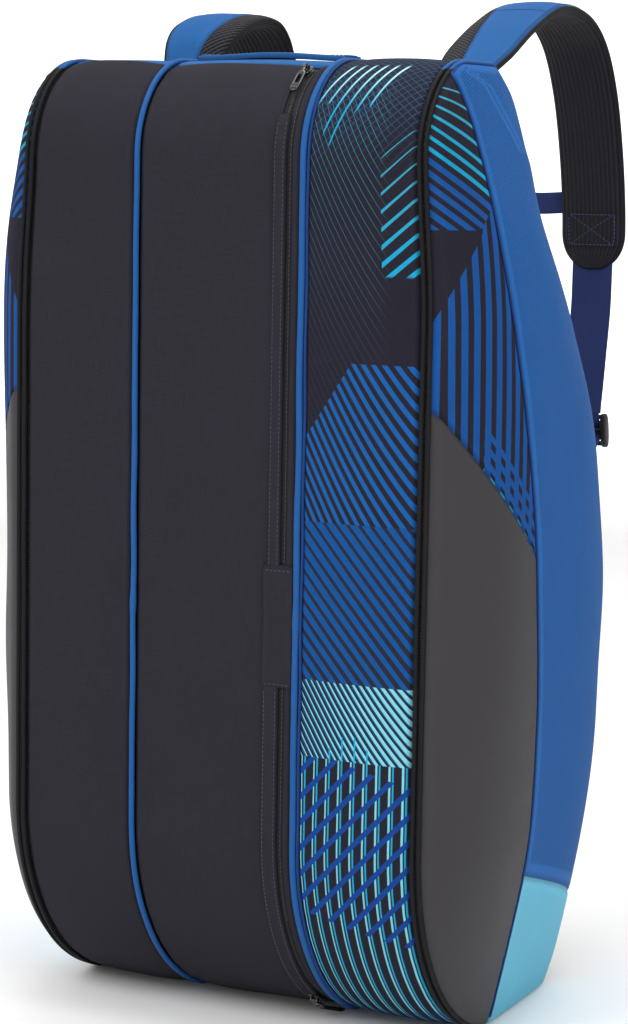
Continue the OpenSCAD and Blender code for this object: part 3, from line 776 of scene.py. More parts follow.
def sweep(name, path, side, section, mats, sharp=50):
    """Carries a closed outline along a path. side is a direction the outline's first axis keeps to, and the
    outline may be one for the whole path, or one for each of its points."""
    path = np.asarray(path, float)
    n = len(path)
    ahead = np.gradient(path, axis=0)
    ahead /= np.linalg.norm(ahead, axis=1, keepdims=True)
    side = np.broadcast_to(np.asarray(side, float), path.shape)
    a = side - (side * ahead).sum(1, keepdims=True) * ahead
    a /= np.linalg.norm(a, axis=1, keepdims=True)
    b = np.cross(a, ahead)
    section = np.asarray(section, float)
    if section.ndim == 2:
        section = np.broadcast_to(section, (n,) + section.shape)
    m = section.shape[1]
    verts = path[:, None] + section[..., :1] * a[:, None] + section[..., 1:2] * b[:, None]
    along = np.r_[0, np.cumsum(np.linalg.norm(np.diff(path, axis=0), axis=1))]
    middle = section[n // 2]
    edge = np.linalg.norm(np.diff(np.vstack([middle, middle[:1]]), axis=0), axis=1)
    cloth = np.zeros((n, m, 3))
    cloth[..., 0] = np.r_[0, np.cumsum(edge)][:-1]
    cloth[..., 1] = along[:, None]
    cloth[..., 2] = 0.02
    ids = np.arange(n * m).reshape(n, m)
    nxt = np.roll(ids, -1, axis=1)
    quads = np.stack([ids[:-1], nxt[:-1], nxt[1:], ids[1:]], -1).reshape(-1, 4)
    faces = [tuple(f) for f in quads] + [tuple(ids[0][::-1]), tuple(ids[-1])]
    return new_object(name, verts.reshape(-1, 3), faces, mats, cloth.reshape(-1, 3), None, sharp)


def circle(radius, count=12, squash=1.0):
    """A round or flattened cross-section"""
    a = np.linspace(0, math.tau, count, endpoint=False)
    return np.stack([radius * np.cos(a), radius * squash * np.sin(a)], -1)


def in_space(x, yz):
    """Points from their distance across the bag and their place in the side plane"""
    yz = np.asarray(yz)
    return np.stack([np.broadcast_to(x, yz.shape[:-1]), yz[..., 0], yz[..., 1]], -1)


def stitches(name, line, out, mat, body, width=0.00032):
    """A row of thread stitches along a line, lying on a surface whose outward direction is out"""
    pitch, length, lift = 0.0036, 0.0026, 0.0001
    line, out = np.asarray(line, float), np.broadcast_to(np.asarray(out, float), np.shape(line))
    s = np.r_[0, np.cumsum(np.linalg.norm(np.diff(line, axis=0), axis=1))]
    verts, faces = [], []
    ring = np.array([[math.cos(a), math.sin(a)] for a in np.linspace(0, math.tau, 5, endpoint=False)])
    for start in np.arange(pitch / 2, s[-1] - length, pitch):
        places = start + length * np.array([0, 0.18, 0.82, 1])
        p = np.stack([np.interp(places, s, line[:, k]) for k in range(3)], -1)
        o = np.stack([np.interp(places, s, out[:, k]) for k in range(3)], -1)
        o /= np.linalg.norm(o, axis=1, keepdims=True)
        t = p[-1] - p[0]
        t /= np.linalg.norm(t)
        w = np.cross(t, o)
        rise = np.array([-width, width * 0.5, width * 0.5, -width])[:, None] + lift
        size = np.array([0.35, 1, 1, 0.35])[:, None, None] * width
        rings = (p + o * rise)[:, None] + size * (ring[None, :, :1] * w[:, None] + ring[None, :, 1:] * o[:, None])
        base = len(verts) * 20
        verts.append(rings.reshape(-1, 3))
        for r in range(3):
            for k in range(5):
                a, b = base + r * 5 + k, base + r * 5 + (k + 1) % 5
                faces.append((a, b, b + 5, a + 5))
        faces.append(tuple(base + k for k in range(4, -1, -1)))
        faces.append(tuple(base + 15 + k for k in range(5)))
    if not verts:
        return None
    obj = new_object(name, np.concatenate(verts), faces, [mat], sharp=None)
    return own(obj, body)

# ---------------------------------------------------------------- fabric of the fixed shell


def front_panel(name, x0, x1, s0, s1, mats, body, nodes, puff=0.003, tuck=0.0032, thick=0.003, cols=30,
                seed=1, path=FRONT_PATH, seams=(True, True), ends=(False, False), wave=0.0011, step=0.004):
    """A panel sewn along a path in the side plane, from x0 to x1. It stands proud between its seams and dips into
    them, with small puckers."""
    rows = int((s1 - s0) / step) + 2
    x, s = spaced(x0, x1, cols, crowd_share=0.55), spaced(s0, s1, rows, crowd_share=0.15 if any(ends) else 0.0)
    S, X = np.meshgrid(s, x, indexing="ij")
    far = np.full(S.shape, 0.05)
    near = np.minimum(X - x0 if seams[0] else far, x1 - X if seams[1] else far)
    near_end = np.minimum(S - s0 if ends[0] else far, s1 - S if ends[1] else far)
    t = (X - x0) / (x1 - x0)
    lift = puff * (1 - np.abs(2 * t - 1) ** 2.6)
    lift = lift - tuck * (1 - smooth(near / 0.0048)) - tuck * 0.8 * (1 - smooth(near_end / 0.0048))
    lift = lift + 0.00042 * np.exp(-near / 0.011) * ripple(S, X * 0.25, 0.013, seed) * smooth(near / 0.004)
    lift = lift + wave * ripple(X, S * 0.55, 0.15, seed + 1) * smooth(near / 0.025)
    yz, out = path.at(S), path.out(S)
    outer = in_space(X, yz + out * lift[..., None])
    inner = in_space(X, yz + out * (np.minimum(lift, 0) - thick)[..., None])
    cloth = np.stack([X, S, np.minimum(near, near_end)], -1)
    return own(slab(name, outer, inner, cloth, mats), body, nodes)


def arc_s(y):
    """Distance along the front path at a depth on the top corner"""
    turn = math.acos(min(1, max(-1, 1 - (y - FRONT) / TOP_R)))
    return FRONT_PATH.at_height(HEIGHT - TOP_R) + TOP_R * turn


# across the bag: the outer seams, the outer compartments' inner seams and the middle compartment's seams
OUTER_X, INNER_X, MIDDLE_X = 0.1716, 0.0734, 0.0706
TOP_A, TOP_B, TOP_C = arc_s(-0.158), arc_s(-0.160), arc_s(-0.1365)
TOP_END = FRONT_PATH.length
SPLIT = FRONT_PATH.at_height(0.337)
UPPER_BEND = ("bag", "middle_flap", (0, FRONT, 0.745), (0, FRONT, 0.600))
LOWER_BEND = ("bag", "middle_flap", (0, FRONT, 0.165), (0, FRONT, 0.300))

front_panel("left_gusset", -OUTER_X, -INNER_X, 0.0, TOP_A, ["black", "lining"], "bag", ["front_gusset_left"],
            seed=11, puff=0.0034)
front_panel("right_gusset", INNER_X, OUTER_X, 0.0, TOP_C, ["print_front", "lining"], "bag", ["front_gusset_right"],
            seed=21, puff=0.0030)
front_panel("middle_front_upper", -MIDDLE_X, 0.0492, SPLIT, TOP_B, ["black", "lining"], UPPER_BEND,
            ["centre_top_strip", "flap_panel"], seed=31, seams=(True, False), puff=0.0022)
front_panel("middle_front_lower", -MIDDLE_X, 0.0492, 0.0, SPLIT, ["black", "lining"], LOWER_BEND,
            ["centre_bottom_strip", "flap_panel"], seed=31, seams=(True, False), puff=0.0022)
front_panel("middle_side_strip", 0.0592, MIDDLE_X, 0.0, TOP_B, ["black", "lining"], "bag", ["centre_side_strip"],
            seed=41, seams=(True, True), puff=0.0004, tuck=0.0018, cols=12, wave=0.0003)

# top of each compartment
for name, x0, x1, s0 in (("top_left", -OUTER_X, -INNER_X, TOP_A), ("top_middle", -MIDDLE_X, MIDDLE_X, TOP_B),
                         ("top_right", INNER_X, OUTER_X, TOP_C)):
    nodes = ["top_panel"] if name == "top_middle" else []
    front_panel(name, x0, x1, s0 + 0.0004, TOP_END + 0.001, ["blue", "lining"], "bag", nodes,
                seed=len(name), puff=0.0016, tuck=0.0022, cols=36, ends=(True, True), wave=0.0005, step=0.002)
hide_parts("top_panel")
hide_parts("top_panel")

front_panel("back_wall", -OUTER_X, OUTER_X, 0.0, BACK_PATH.length, ["black", "lining"], "bag", ["back_panel"],
            path=BACK_PATH, seed=51, puff=0.0024, cols=56, ends=(True, True), wave=0.0016,
            tuck=0.0026)


def base_piece():
    """Fabric under the bag, rounded at its edges"""
    x, y = spaced(-SEAM - 0.0016, SEAM + 0.0016, 60), spaced(BASE_Y, BASE_BACK, 26)
    Y, X = np.meshgrid(y, x, indexing="ij")
    near = np.minimum(np.minimum(X - x[0], x[-1] - X), np.minimum(Y - y[0], y[-1] - Y))
    low = 0.0022 * (1 - smooth(near / 0.006)) + 0.0002 * (1 + ripple(X, Y, 0.09, 5)) * smooth(near / 0.01)
    outer = np.stack([X, Y, low], -1)
    inner = np.stack([X, Y, np.full(X.shape, 0.0038)], -1)
    own(slab("base_fabric", outer, inner, np.stack([X, Y, near], -1), ["base", "lining"]), "bag", ["base_panel"])


base_piece()


def corded(name, x, radius, mat, body, nodes, s0=0.004, s1=TOP_END, lift=0.0006, path=FRONT_PATH, join=None,
           low=None, seed=3):
    """Piping along a path: a fabric-covered cord with a little unevenness, and one sleeve where its ends meet"""
    s = np.arange(s0, s1, 0.003)
    yz = path.at(s) + path.out(s) * lift
    if low is not None:
        yz[:, 1] = np.maximum(yz[:, 1], low)
    uneven = 1 + 0.035 * ripple(s, s * 0, 0.03, seed)
    if join is not None:
        uneven = uneven + 0.16 * smooth(1 - np.abs(s - join) / 0.013)
    section = circle(radius, 14)[None] * uneven[:, None, None]
    points = in_space(x + 0.0004 * ripple(s, s * 0, 0.12, seed + 1), yz)
    return own(sweep(name, points, (1, 0, 0), section, [mat], sharp=60), body, nodes)


def blue_on_top(cord):
    """The black edge piping gives way to blue along the top of the bag"""
    cord.data.materials.append(M["piping"])
    for face in cord.data.polygons:
        face.material_index = int(face.center.z > HEIGHT - 0.006)


JOIN = FRONT_PATH.at_height(0.345)
corded("piping_left_cord", -HALF, 0.0023, "piping", "bag", ["piping_left"], join=JOIN, low=0.0026)
corded("piping_right_cord", HALF, 0.0028, "piping", "bag", ["piping_right"], join=JOIN - 0.004,
       low=0.0031, seed=7)
corded("piping_right_second", HALF + 0.0044, 0.0012, "navy_piping", "bag", ["piping_right_inner"],
       s0=0.03, lift=0.0012, seed=9)
for side, s in SIDES:
    blue_on_top(corded(f"edge_cord_{side}", s * 0.1733, 0.0019, "black_piping", "bag", [f"edge_piping_{side}"],
                       low=0.0027, seed=13 + s))

# ---------------------------------------------------------------- dividers (the base board keeps its CAD shape, further on)


def divider(name, x, nodes):
    """Padded divider: the side outline, a little smaller, quilted in upright channels"""
    z = spaced(0.0082, HEIGHT - 0.0082, 150, crowd_share=0.3)
    t = spaced(0, 1, 44)
    T, Z = np.meshgrid(t, z)
    f, b = front_edge(Z) + 0.009, back_edge(Z) - 0.009
    Y = f + (b - f) * T
    near = np.minimum(np.minimum(Y - f, b - Y), np.minimum(Z - z[0], z[-1] - Z))
    channel = np.abs(np.sin(math.pi * (Y - 0.01) / 0.055))
    half = 0.0009 + 0.0011 * np.sqrt(channel) * smooth(near / 0.01)
    cloth = np.stack([Y, Z, near], -1)
    outer, inner = np.stack([x + half, Y, Z], -1), np.stack([x - half, Y, Z], -1)
    own(slab(name, outer, inner, cloth, ["lining"]), "bag", nodes)


divider("divider_quilt_left", -HALF, ["divider_left"])
divider("divider_quilt_right", HALF, ["divider_right"])


# ---------------------------------------------------------------- side covers


def rim_round(d, r=0.0055):
    t = np.clip(d / r, 0, 1)
    return np.sqrt(np.maximum(0, 1 - (1 - t) ** 2))


def shoulder_line(z):
    """Depth of the seam across the top of the blue panel"""
    return np.interp(z, [0.690, 0.735, 0.753, 0.760, 0.770], [-0.070, -0.107, -0.119, -0.140, -0.160])


def cover_face(y, z):
    """Outer surface of a cover, with its rounded rim and soft unevenness"""
    d = np.minimum(np.minimum(y - front_edge(z), back_edge(z) - y), np.minimum(z, HEIGHT - z))
    full = cover_x(y, z)
    full = full + 0.0009 * ripple(y, z * 0.7, 0.13, 5) * smooth(d / 0.03)
    # the back of the shoulder is full
    full = full + 0.0075 * np.exp(-(((z - 0.700) / 0.042) ** 2)) * smooth(1 - (back_edge(z) - y) / 0.075)
    return RIM + (full - RIM) * rim_round(d), d


# the lines down a cover that its panels end at
FRONT_EDGE, BLUE_SEAM, BACK_SEAM = 0, 1, 2


def edge_curve(which, z):
    return (front_edge, blue_edge, back_edge)[which](z)


def cover_panel(name, side, from_edge, to_edge, low, high, mats, nodes, rows, cols, seed, shoulder=False,
                over=False):
    """One fabric of a cover's face, between two lines down it. low and high are the heights of its ends at those
    lines. shoulder adds the seam across the top, and over measures the fabric along the face."""
    t = spaced(0, 1, cols, crowd_share=0.6)
    r = spaced(0, 1, rows, crowd_share=0.35)
    T, R = np.meshgrid(t, r)
    z_low, z_high = low[0] + (low[1] - low[0]) * T, high[0] + (high[1] - high[0]) * T
    Z = z_low + (z_high - z_low) * R
    a, b = edge_curve(from_edge, Z), edge_curve(to_edge, Z)
    a, b = a + (0.0004 if from_edge == BLUE_SEAM else 0), b - (0.0004 if to_edge == BLUE_SEAM else 0)
    Y = a + (b - a) * T
    X, d = cover_face(Y, Z)
    near = np.full(Y.shape, 0.05)
    if from_edge == BLUE_SEAM:
        near = np.minimum(near, (Y - a) * 1.15)
    if to_edge == BLUE_SEAM:
        near = np.minimum(near, (b - Y) * 1.15)
    if low[0] > 0.01:
        near = np.minimum(near, (Z - z_low) * 0.8)
    if high[0] < HEIGHT - 0.01:
        near = np.minimum(near, (z_high - Z) * 0.8)
    dip = 0.0011 * (1 - smooth(near / 0.0035))
    dip = dip - 0.0003 * np.exp(-near / 0.010) * ripple(Z, Y * 0.3, 0.012, seed) * smooth(near / 0.003)
    rim_near = np.minimum(near, d + 0.002)
    if shoulder:
        across = Y - shoulder_line(Z)
        dip = dip + 0.0014 * np.exp(-((across / 0.0022) ** 2)) * (Z > 0.70) + 0.0010 * smooth(across / 0.003) * (
            smooth((Z - 0.690) / 0.02))
        rim_near = np.where(Z > 0.70, np.minimum(rim_near, np.abs(across)), rim_near)
    X = np.maximum(X - dip, RIM)
    outer = np.stack([side * X, Y, Z], -1)
    inner = np.stack([side * np.maximum(RIM, X - 0.0013), Y, Z], -1)
    across = Y
    if over:
        step = np.hypot(np.diff(X, axis=1), np.diff(Y, axis=1))
        across = np.concatenate([np.zeros((rows, 1)), np.cumsum(step, axis=1)], axis=1)
    cloth = np.stack([across, Z, rim_near], -1)
    return own(slab(name, outer, inner, cloth, mats), f"{'right' if side > 0 else 'left'}_cover", nodes)


def cover_lining(name, side, nodes):
    """Foam of a cover in its quilted lining, just under the face panels"""
    t, r = spaced(0, 1, 64, crowd_share=0.5), spaced(0.0015, HEIGHT - 0.0015, 130, crowd_share=0.35)
    T, Z = np.meshgrid(t, r)
    f, b = front_edge(Z) + 0.0012, back_edge(Z) - 0.0012
    Y = f + (b - f) * T
    X, d = cover_face(Y, Z)
    outer_x = np.maximum(RIM + 0.0002, X - 0.0032)
    quilt = np.minimum(np.abs(np.sin(math.pi * (Y + Z) / 0.075)), np.abs(np.sin(math.pi * (Y - Z) / 0.075)))
    inner_x = np.maximum(RIM + 0.0001, X - 0.0085 - 0.0022 * np.sqrt(quilt) * smooth(d / 0.02))
    outer, inner = np.stack([side * outer_x, Y, Z], -1), np.stack([side * inner_x, Y, Z], -1)
    cloth = np.stack([Y, Z, d + 0.004], -1)
    obj = own(slab(name, outer, inner, cloth, ["lining", "lining_blue"]),
              f"{'right' if side > 0 else 'left'}_cover", nodes)


def loop_points():
    """All the way round the side outline, from the middle of the base and back"""
    base_front = [(y, 0.0) for y in np.linspace(-0.002, BASE_Y, 24)[:-1]]
    base_back = [(y, 0.0) for y in np.linspace(BASE_BACK, 0.002, 24)[1:]]
    points = np.array(base_front + [tuple(p) for p in FRONT_PATH.p] + [tuple(p) for p in BACK_PATH.p[1:]] + base_back)
    rough = Path(points)
    s = np.arange(0, rough.length, 0.0025)
    even = rough.at(s)
    for _ in range(3):
        even[1:-1] = (even[:-2] + even[1:-1] * 2 + even[2:]) / 4
    return Path(even)


LOOP = loop_points()

# heights of the panels' upper ends, at their front and back lines
COVER_TOP, GREY_TOP, CORNER_TOP = (HEIGHT, HEIGHT), (GREY_FRONT_Z, GREY_BACK_Z), (CORNER_FRONT_Z, CORNER_BACK_Z)

for side, s in SIDES:
    cover_panel(f"{side}_cover_blue", s, BLUE_SEAM, BACK_SEAM, CORNER_TOP, COVER_TOP, ["blue_rib"],
                [f"{side}_blue_panel"], rows=170, cols=56, seed=61, shoulder=True)
    cover_panel(f"{side}_cover_print", s, FRONT_EDGE, BLUE_SEAM, GREY_TOP, COVER_TOP, ["print_side"],
                [f"{side}_print_panel"], rows=130, cols=48, seed=71, over=True)
    cover_panel(f"{side}_cover_grey", s, FRONT_EDGE, BLUE_SEAM, (0.0, 0.0), GREY_TOP, ["grey"],
                [f"{side}_grey_panel"], rows=130, cols=38, seed=81)
    cover_panel(f"{side}_cover_corner", s, BLUE_SEAM, BACK_SEAM, (0.0, 0.0), CORNER_TOP, ["cyan"],
                [f"{side}_corner_panel"], rows=46, cols=40, seed=91)
    cover_lining(f"{side}_cover_quilt", s, [f"{side}_cover_foam"])
    # rolled black edge of the cover, which closes against the edge piping
    ss = np.arange(0.0, LOOP.length, 0.003)
    ring = LOOP.at(ss) + LOOP.out(ss) * 0.0002
    ring[:, 1] = np.maximum(ring[:, 1], 0.0023)
    blue_on_top(own(sweep(f"{side}_cover_edge", in_space(s * 0.1788, ring), (1, 0, 0), circle(0.0018, 12),
                          ["black_piping"], sharp=60), f"{side}_cover"))
    # cord along the front of the blue panel
    z = np.linspace(0.010, 0.764, 220)
    y = blue_edge(z)
    x, _ = cover_face(y, z)
    cord = np.stack([s * (x - 0.0004), y, z], -1)
    own(sweep(f"{side}_blue_cord", cord, (0, 1, 0), circle(0.0011, 8), ["navy_piping"], sharp=60),
        f"{side}_cover", [f"{side}_face_piping"])

# ---------------------------------------------------------------- front zip


def span_frames(s, x, lift, path=FRONT_PATH):
    """Points over a path at a distance out from it"""
    return in_space(x, path.at(s) + path.out(s) * np.asarray(lift)[..., None])


def strip(name, x0, x1, s0, s1, low, high, mats, body, nodes=(), path=FRONT_PATH, cols=8, round_edge=0.0,
          step=0.004, seed=2, wave=0.0):
    """A flat strip along a path between two distances out from it, with its long edges rounded"""
    s = np.arange(s0, s1 + step * 0.5, step)
    S, X = np.meshgrid(s, spaced(x0, x1, cols, crowd_share=0.8), indexing="ij")
    near = np.minimum(X - x0, x1 - X)
    near_end = np.minimum(S - s0, s1 - S)
    top = high - round_edge * (1 - rim_round(near, 0.0016)) - round_edge * 0.7 * (1 - rim_round(near_end, 0.0016))
    top = top + wave * ripple(S, X, 0.05, seed)
    outer, inner = span_frames(S, X, top, path), span_frames(S, X, np.full(S.shape, low), path)
    return own(slab(name, outer, inner, np.stack([X, S, np.minimum(near, near_end) + 0.003], -1), mats), body,
               nodes)


def teeth(name, x, s0, s1, side, body, nodes, slot, pitch=0.0018, reach=0.0030, thick=0.0011, out=-0.0002,
          path=FRONT_PATH, mat="coil"):
    """One half of a coil: small rounded loops that reach past the middle"""
    verts, faces = [], []
    ring = np.array([[math.cos(a), math.sin(a)] for a in np.linspace(0, math.tau, 6, endpoint=False)])
    along = np.arange(s0, s1, pitch) + (0 if side < 0 else pitch / 2)
    places, ups, fronts = path.at(along), path.out(along), path.along(along)
    for p, o, t in zip(places, ups, fronts):
        base = len(verts) * 18
        rings = []
        for q, size in ((-0.75, 0.75), (0.15, 1.0), (0.45, 0.62)):
            d, w = ring[:, 0] * size * thick / 2, ring[:, 1] * size * pitch * 0.36
            yz = p + o * (out + d[:, None]) + t * w[:, None]
            rings.append(np.column_stack([np.full(6, x + side * q * reach), yz]))
        verts.append(np.concatenate(rings))
        for r in range(2):
            for k in range(6):
                a, b = base + r * 6 + k, base + r * 6 + (k + 1) % 6
                faces.append((a, b, b + 6, a + 6))
        faces += [tuple(base + k for k in range(5, -1, -1)), tuple(base + 12 + k for k in range(6))]
    return own(new_object(name, np.concatenate(verts), faces, [mat], sharp=None), body, nodes)


for part, s0, s1, body, nodes in (("upper", SPLIT, TOP_B - 0.004, UPPER_BEND, ["flap_zip"]),
                                  ("lower", 0.004, SPLIT, LOWER_BEND, ["flap_zip"])):
    strip(f"zip_tape_left_{part}", 0.0470, 0.0537, s0, s1, -0.0036, -0.0016, ["tape"], body, nodes)
    teeth(f"zip_teeth_left_{part}", 0.0537, s0, s1, 1, body, [], "zip_metal")
strip("zip_tape_right", 0.0543, 0.0612, 0.004, TOP_B - 0.004, -0.0036, -0.0016, ["tape"], "bag", ["front_zip"])
teeth("zip_teeth_right", 0.0543, 0.004, TOP_B - 0.004, -1, "bag", [], "zip_metal")

# covers over the zip, sewn along their left edge, and the plain bridge between them
at_z = FRONT_PATH.at_height
COVER_X = 0.0572
strip("zip_cover_upper", 0.0466, COVER_X, at_z(0.382), at_z(0.728), 0.0004, 0.0022, ["black"], UPPER_BEND,
      ["zip_cover_flaps"], round_edge=0.0018, cols=14, seed=5, wave=0.0003)
strip("zip_cover_lower", 0.0440, COVER_X, 0.034, at_z(0.292), 0.0004, 0.0022, ["black"], LOWER_BEND,
      ["zip_cover_flaps"], round_edge=0.0018, cols=14, seed=6, wave=0.0003)
strip("zip_bridge", 0.0430, 0.0693, at_z(0.290), at_z(0.384), 0.0004, 0.0020, ["black"], "middle_flap",
      ["zip_cover_flaps"], round_edge=0.0016, cols=22, seed=7, wave=0.0004)


def seam_rows(name, x, s0, s1, lift, mat, body, path=FRONT_PATH, **more):
    """Stitches along a path in the side plane"""
    s = np.arange(s0, s1, 0.004)
    stitches(name, span_frames(s, x, np.full(s.shape, lift), path), in_space(0.0, path.out(s)), mat, body, **more)


def seam_across(name, x0, x1, s, lift, mat, body, path=FRONT_PATH, **more):
    """Stitches across the bag, at one place on a path"""
    x = np.linspace(x0, x1, 12)
    at = np.full(x.shape, s)
    stitches(name, span_frames(at, x, np.full(x.shape, lift), path), in_space(0.0, path.out(at)), mat, body, **more)


seam_rows("cover_stitch_upper", 0.0486, at_z(0.384), at_z(0.726), 0.0022, "thread_black", UPPER_BEND)
seam_rows("cover_stitch_lower", 0.0460, 0.036, at_z(0.290), 0.0022, "thread_black", LOWER_BEND)
seam_rows("cover_edge_stitch_upper", 0.0556, at_z(0.384), at_z(0.726), 0.0021, "thread_black", UPPER_BEND)
seam_rows("cover_edge_stitch_lower", 0.0556, 0.036, at_z(0.290), 0.0021, "thread_black", LOWER_BEND)
seam_across("bridge_stitch_top", 0.0440, 0.0685, at_z(0.3815), 0.0020, "thread_black", "middle_flap")
seam_across("bridge_stitch_low", 0.0440, 0.0685, at_z(0.2925), 0.0020, "thread_black", "middle_flap")
seam_rows("side_strip_stitch", 0.0612, at_z(0.10), TOP_B - 0.01, 0.0005, "thread_black", "bag")

# ---------------------------------------------------------------- sliders and pulls


def on_top_arc(angle):
    """Where a slider sits, at an angle round the front's top corner"""
    return (Matrix.Translation((ZIP_X, FRONT + TOP_R, HEIGHT - TOP_R))
            @ Matrix.Rotation(math.radians(angle - 90), 4, "X") @ Matrix.Translation((0, -TOP_R, 0)))


def block(outline, thickness, bevel=0.0006, holes=(), segments=3):
    """A rounded plate in bmesh: an outline in (x, z) carried through a thickness along y, with bevelled edges"""
    bm = bmesh.new()
    rings = [outline] + list(holes)
    if holes:
        a, b = np.asarray(outline), np.asarray(holes[0])
        n = len(a)
        lv = [bm.verts.new((p[0], -thickness / 2, p[1])) for p in a] + [bm.verts.new((p[0], -thickness / 2, p[1]))
                                                                        for p in b]
        hv = [bm.verts.new((v.co.x, thickness / 2, v.co.z)) for v in lv]
        for i in range(n):
            j = (i + 1) % n
            bm.faces.new((lv[i], lv[j], lv[n + j], lv[n + i]))
            bm.faces.new((hv[i], hv[n + i], hv[n + j], hv[j]))
            bm.faces.new((lv[i], hv[i], hv[j], lv[j]))
            bm.faces.new((lv[n + i], lv[n + j], hv[n + j], hv[n + i]))
    else:
        lv = [bm.verts.new((p[0], -thickness / 2, p[1])) for p in rings[0]]
        face = bm.faces.new(lv)
        out = bmesh.ops.extrude_face_region(bm, geom=[face])
        moved = [v for v in out["geom"] if isinstance(v, bmesh.types.BMVert)]
        bmesh.ops.translate(bm, vec=(0, thickness, 0), verts=moved)
    bmesh.ops.recalc_face_normals(bm, faces=bm.faces)
    edges = [e for e in bm.edges if e.calc_face_angle(0) > math.radians(50)]
    bmesh.ops.bevel(bm, geom=edges, offset=bevel, segments=segments, profile=0.5, affect="EDGES")
    return bm


def oval(w, h, cx=0.0, cz=0.0, count=32, power=2.6):
    a = np.linspace(0, math.tau, count, endpoint=False)
    c, s = np.cos(a), np.sin(a)
    return [(cx + w / 2 * np.sign(i) * abs(i) ** (2 / power), cz + h / 2 * np.sign(j) * abs(j) ** (2 / power))
            for i, j in zip(c, s)]


def joined(name, parts, place, mat, body, nodes, sharp=40):
    """Several bmesh solids in one object, set at a place"""
    all_bm = bmesh.new()
    for bm, offset in parts:
        mesh = bpy.data.meshes.new("part")
        bm.transform(offset)
        bm.to_mesh(mesh)
        bm.free()
        all_bm.from_mesh(mesh)
        bpy.data.meshes.remove(mesh)
    all_bm.transform(place)
    mesh = bpy.data.meshes.new(name)
    all_bm.to_mesh(mesh)
    all_bm.free()
    mesh.materials.append(M[mat])
    mesh.polygons.foreach_set("use_smooth", np.ones(len(mesh.polygons), bool))
    mesh.set_sharp_from_angle(angle=math.radians(sharp))
    obj = bpy.data.objects.new(name, mesh)
    scene.collection.objects.link(obj)
    return own(obj, body, nodes)


def rod(a, b, radius, count=16):
    """A round bar from a to b"""
    bm = bmesh.new()
    a, b = Vector(a), Vector(b)
    bmesh.ops.create_cone(bm, cap_ends=True, segments=count, radius1=radius, radius2=radius, depth=(b - a).length)
    turn = (b - a).to_track_quat("Z", "Y").to_matrix().to_4x4()
    turn.translation = (a + b) / 2
    bm.transform(turn)
    return bm


def at_y(y):
    return Matrix.Translation((0, y, 0))


EYE = Matrix.Identity(4)


def in_metres(points):
    return [(x * 0.001, z * 0.001) for x, z in points]


def slider_piece(name, place, body, node):
    """Zip slider: two plates on a core, and the bridge that holds the pull"""
    shield = in_metres([(-2.2, -6), (2.2, -6), (3.6, -4.6), (4.3, -1.5), (4.6, 2.5), (4.2, 5.2), (2.6, 6), (0.8, 4.9),
                        (-0.8, 4.9), (-2.6, 6), (-4.2, 5.2), (-4.6, 2.5), (-4.3, -1.5), (-3.6, -4.6)])
    core = in_metres([(-0.9, -4), (0.9, -4), (1.4, 3.4), (-1.4, 3.4)])
    parts = [(block(shield, 0.0013, 0.0004), at_y(-0.0022)), (block(shield, 0.0012, 0.0004), at_y(0.0004)),
             (block(core, 0.0022, 0.0003), at_y(-0.0009))]
    cheek_line = [(-0.0022, 0.0), (0.0022, 0.0), (0.0016, 0.0036), (0.0, 0.0046), (-0.0016, 0.0036)]
    for x0 in (-0.0030, 0.0020):
        cheek = block(cheek_line, 0.0010, 0.0003)
        turn = Matrix(((0, 1, 0, x0 + 0.0005), (0, 0, -1, -0.0027), (1, 0, 0, 0), (0, 0, 0, 1)))
        parts.append((cheek, turn))
    parts.append((rod((-0.0033, -0.0058, 0), (0.0033, -0.0058, 0), 0.0010), EYE))
    parts.append((rod((0, -0.0028, 0.0036), (0, -0.0034, 0.0036), 0.0010), EYE))
    return joined(name, parts, place, "gloss", body, [node])


def pull_piece(name, place, body, node, length, lean=0.0):
    """Long loop pull: an eye on the cross bar, a neck and a rounded loop with a slot"""
    loop = oval(0.0072, length - 0.0055, 0, -(length + 0.0055) / 2, power=4.2)
    slot = oval(0.0036, length - 0.0125, 0, -(length + 0.0055) / 2 - 0.0006, power=4.2)
    parts = [(block(loop, 0.0021, 0.0006, holes=[slot]), at_y(-0.0058)),
             (block([(-0.0016, -0.0085), (0.0016, -0.0085), (0.0014, -0.0012), (-0.0014, -0.0012)], 0.0020, 0.0005),
              at_y(-0.0058)),
             (rod((-0.0015, -0.0058, 0), (0.0015, -0.0058, 0), 0.0021, 20), EYE)]
    # ridges for the fingers
    for k in range(4):
        z = -length + 0.0030 + k * 0.0013
        parts.append((rod((-0.0029, -0.0071, z), (0.0029, -0.0071, z), 0.00035, 8), EYE))
    hang = at_y(-0.0058) @ Matrix.Rotation(math.radians(-lean), 4, "X") @ at_y(0.0058)
    return joined(name, parts, place @ hang, "gloss", body, [node])


slider_piece("zip_slider_upper", on_top_arc(29), "upper_slider", "upper_zip_slider")
pull_piece("zip_pull_upper", on_top_arc(29), "upper_puller", "upper_zip_puller", 0.028, -14)

# ---------------------------------------------------------------- side zips and the fabric hinge of each cover

# distances from the bag's middle: the edges of the tape, and the two rows of teeth
SIDE_TAPE, SIDE_TEETH = (0.1706, 0.1760), ((-1, "a", 0.1722), (1, "b", 0.1744))
SIDE_COIL = {"pitch": 0.0026, "reach": 0.0024, "thick": 0.0016, "out": -0.0034}

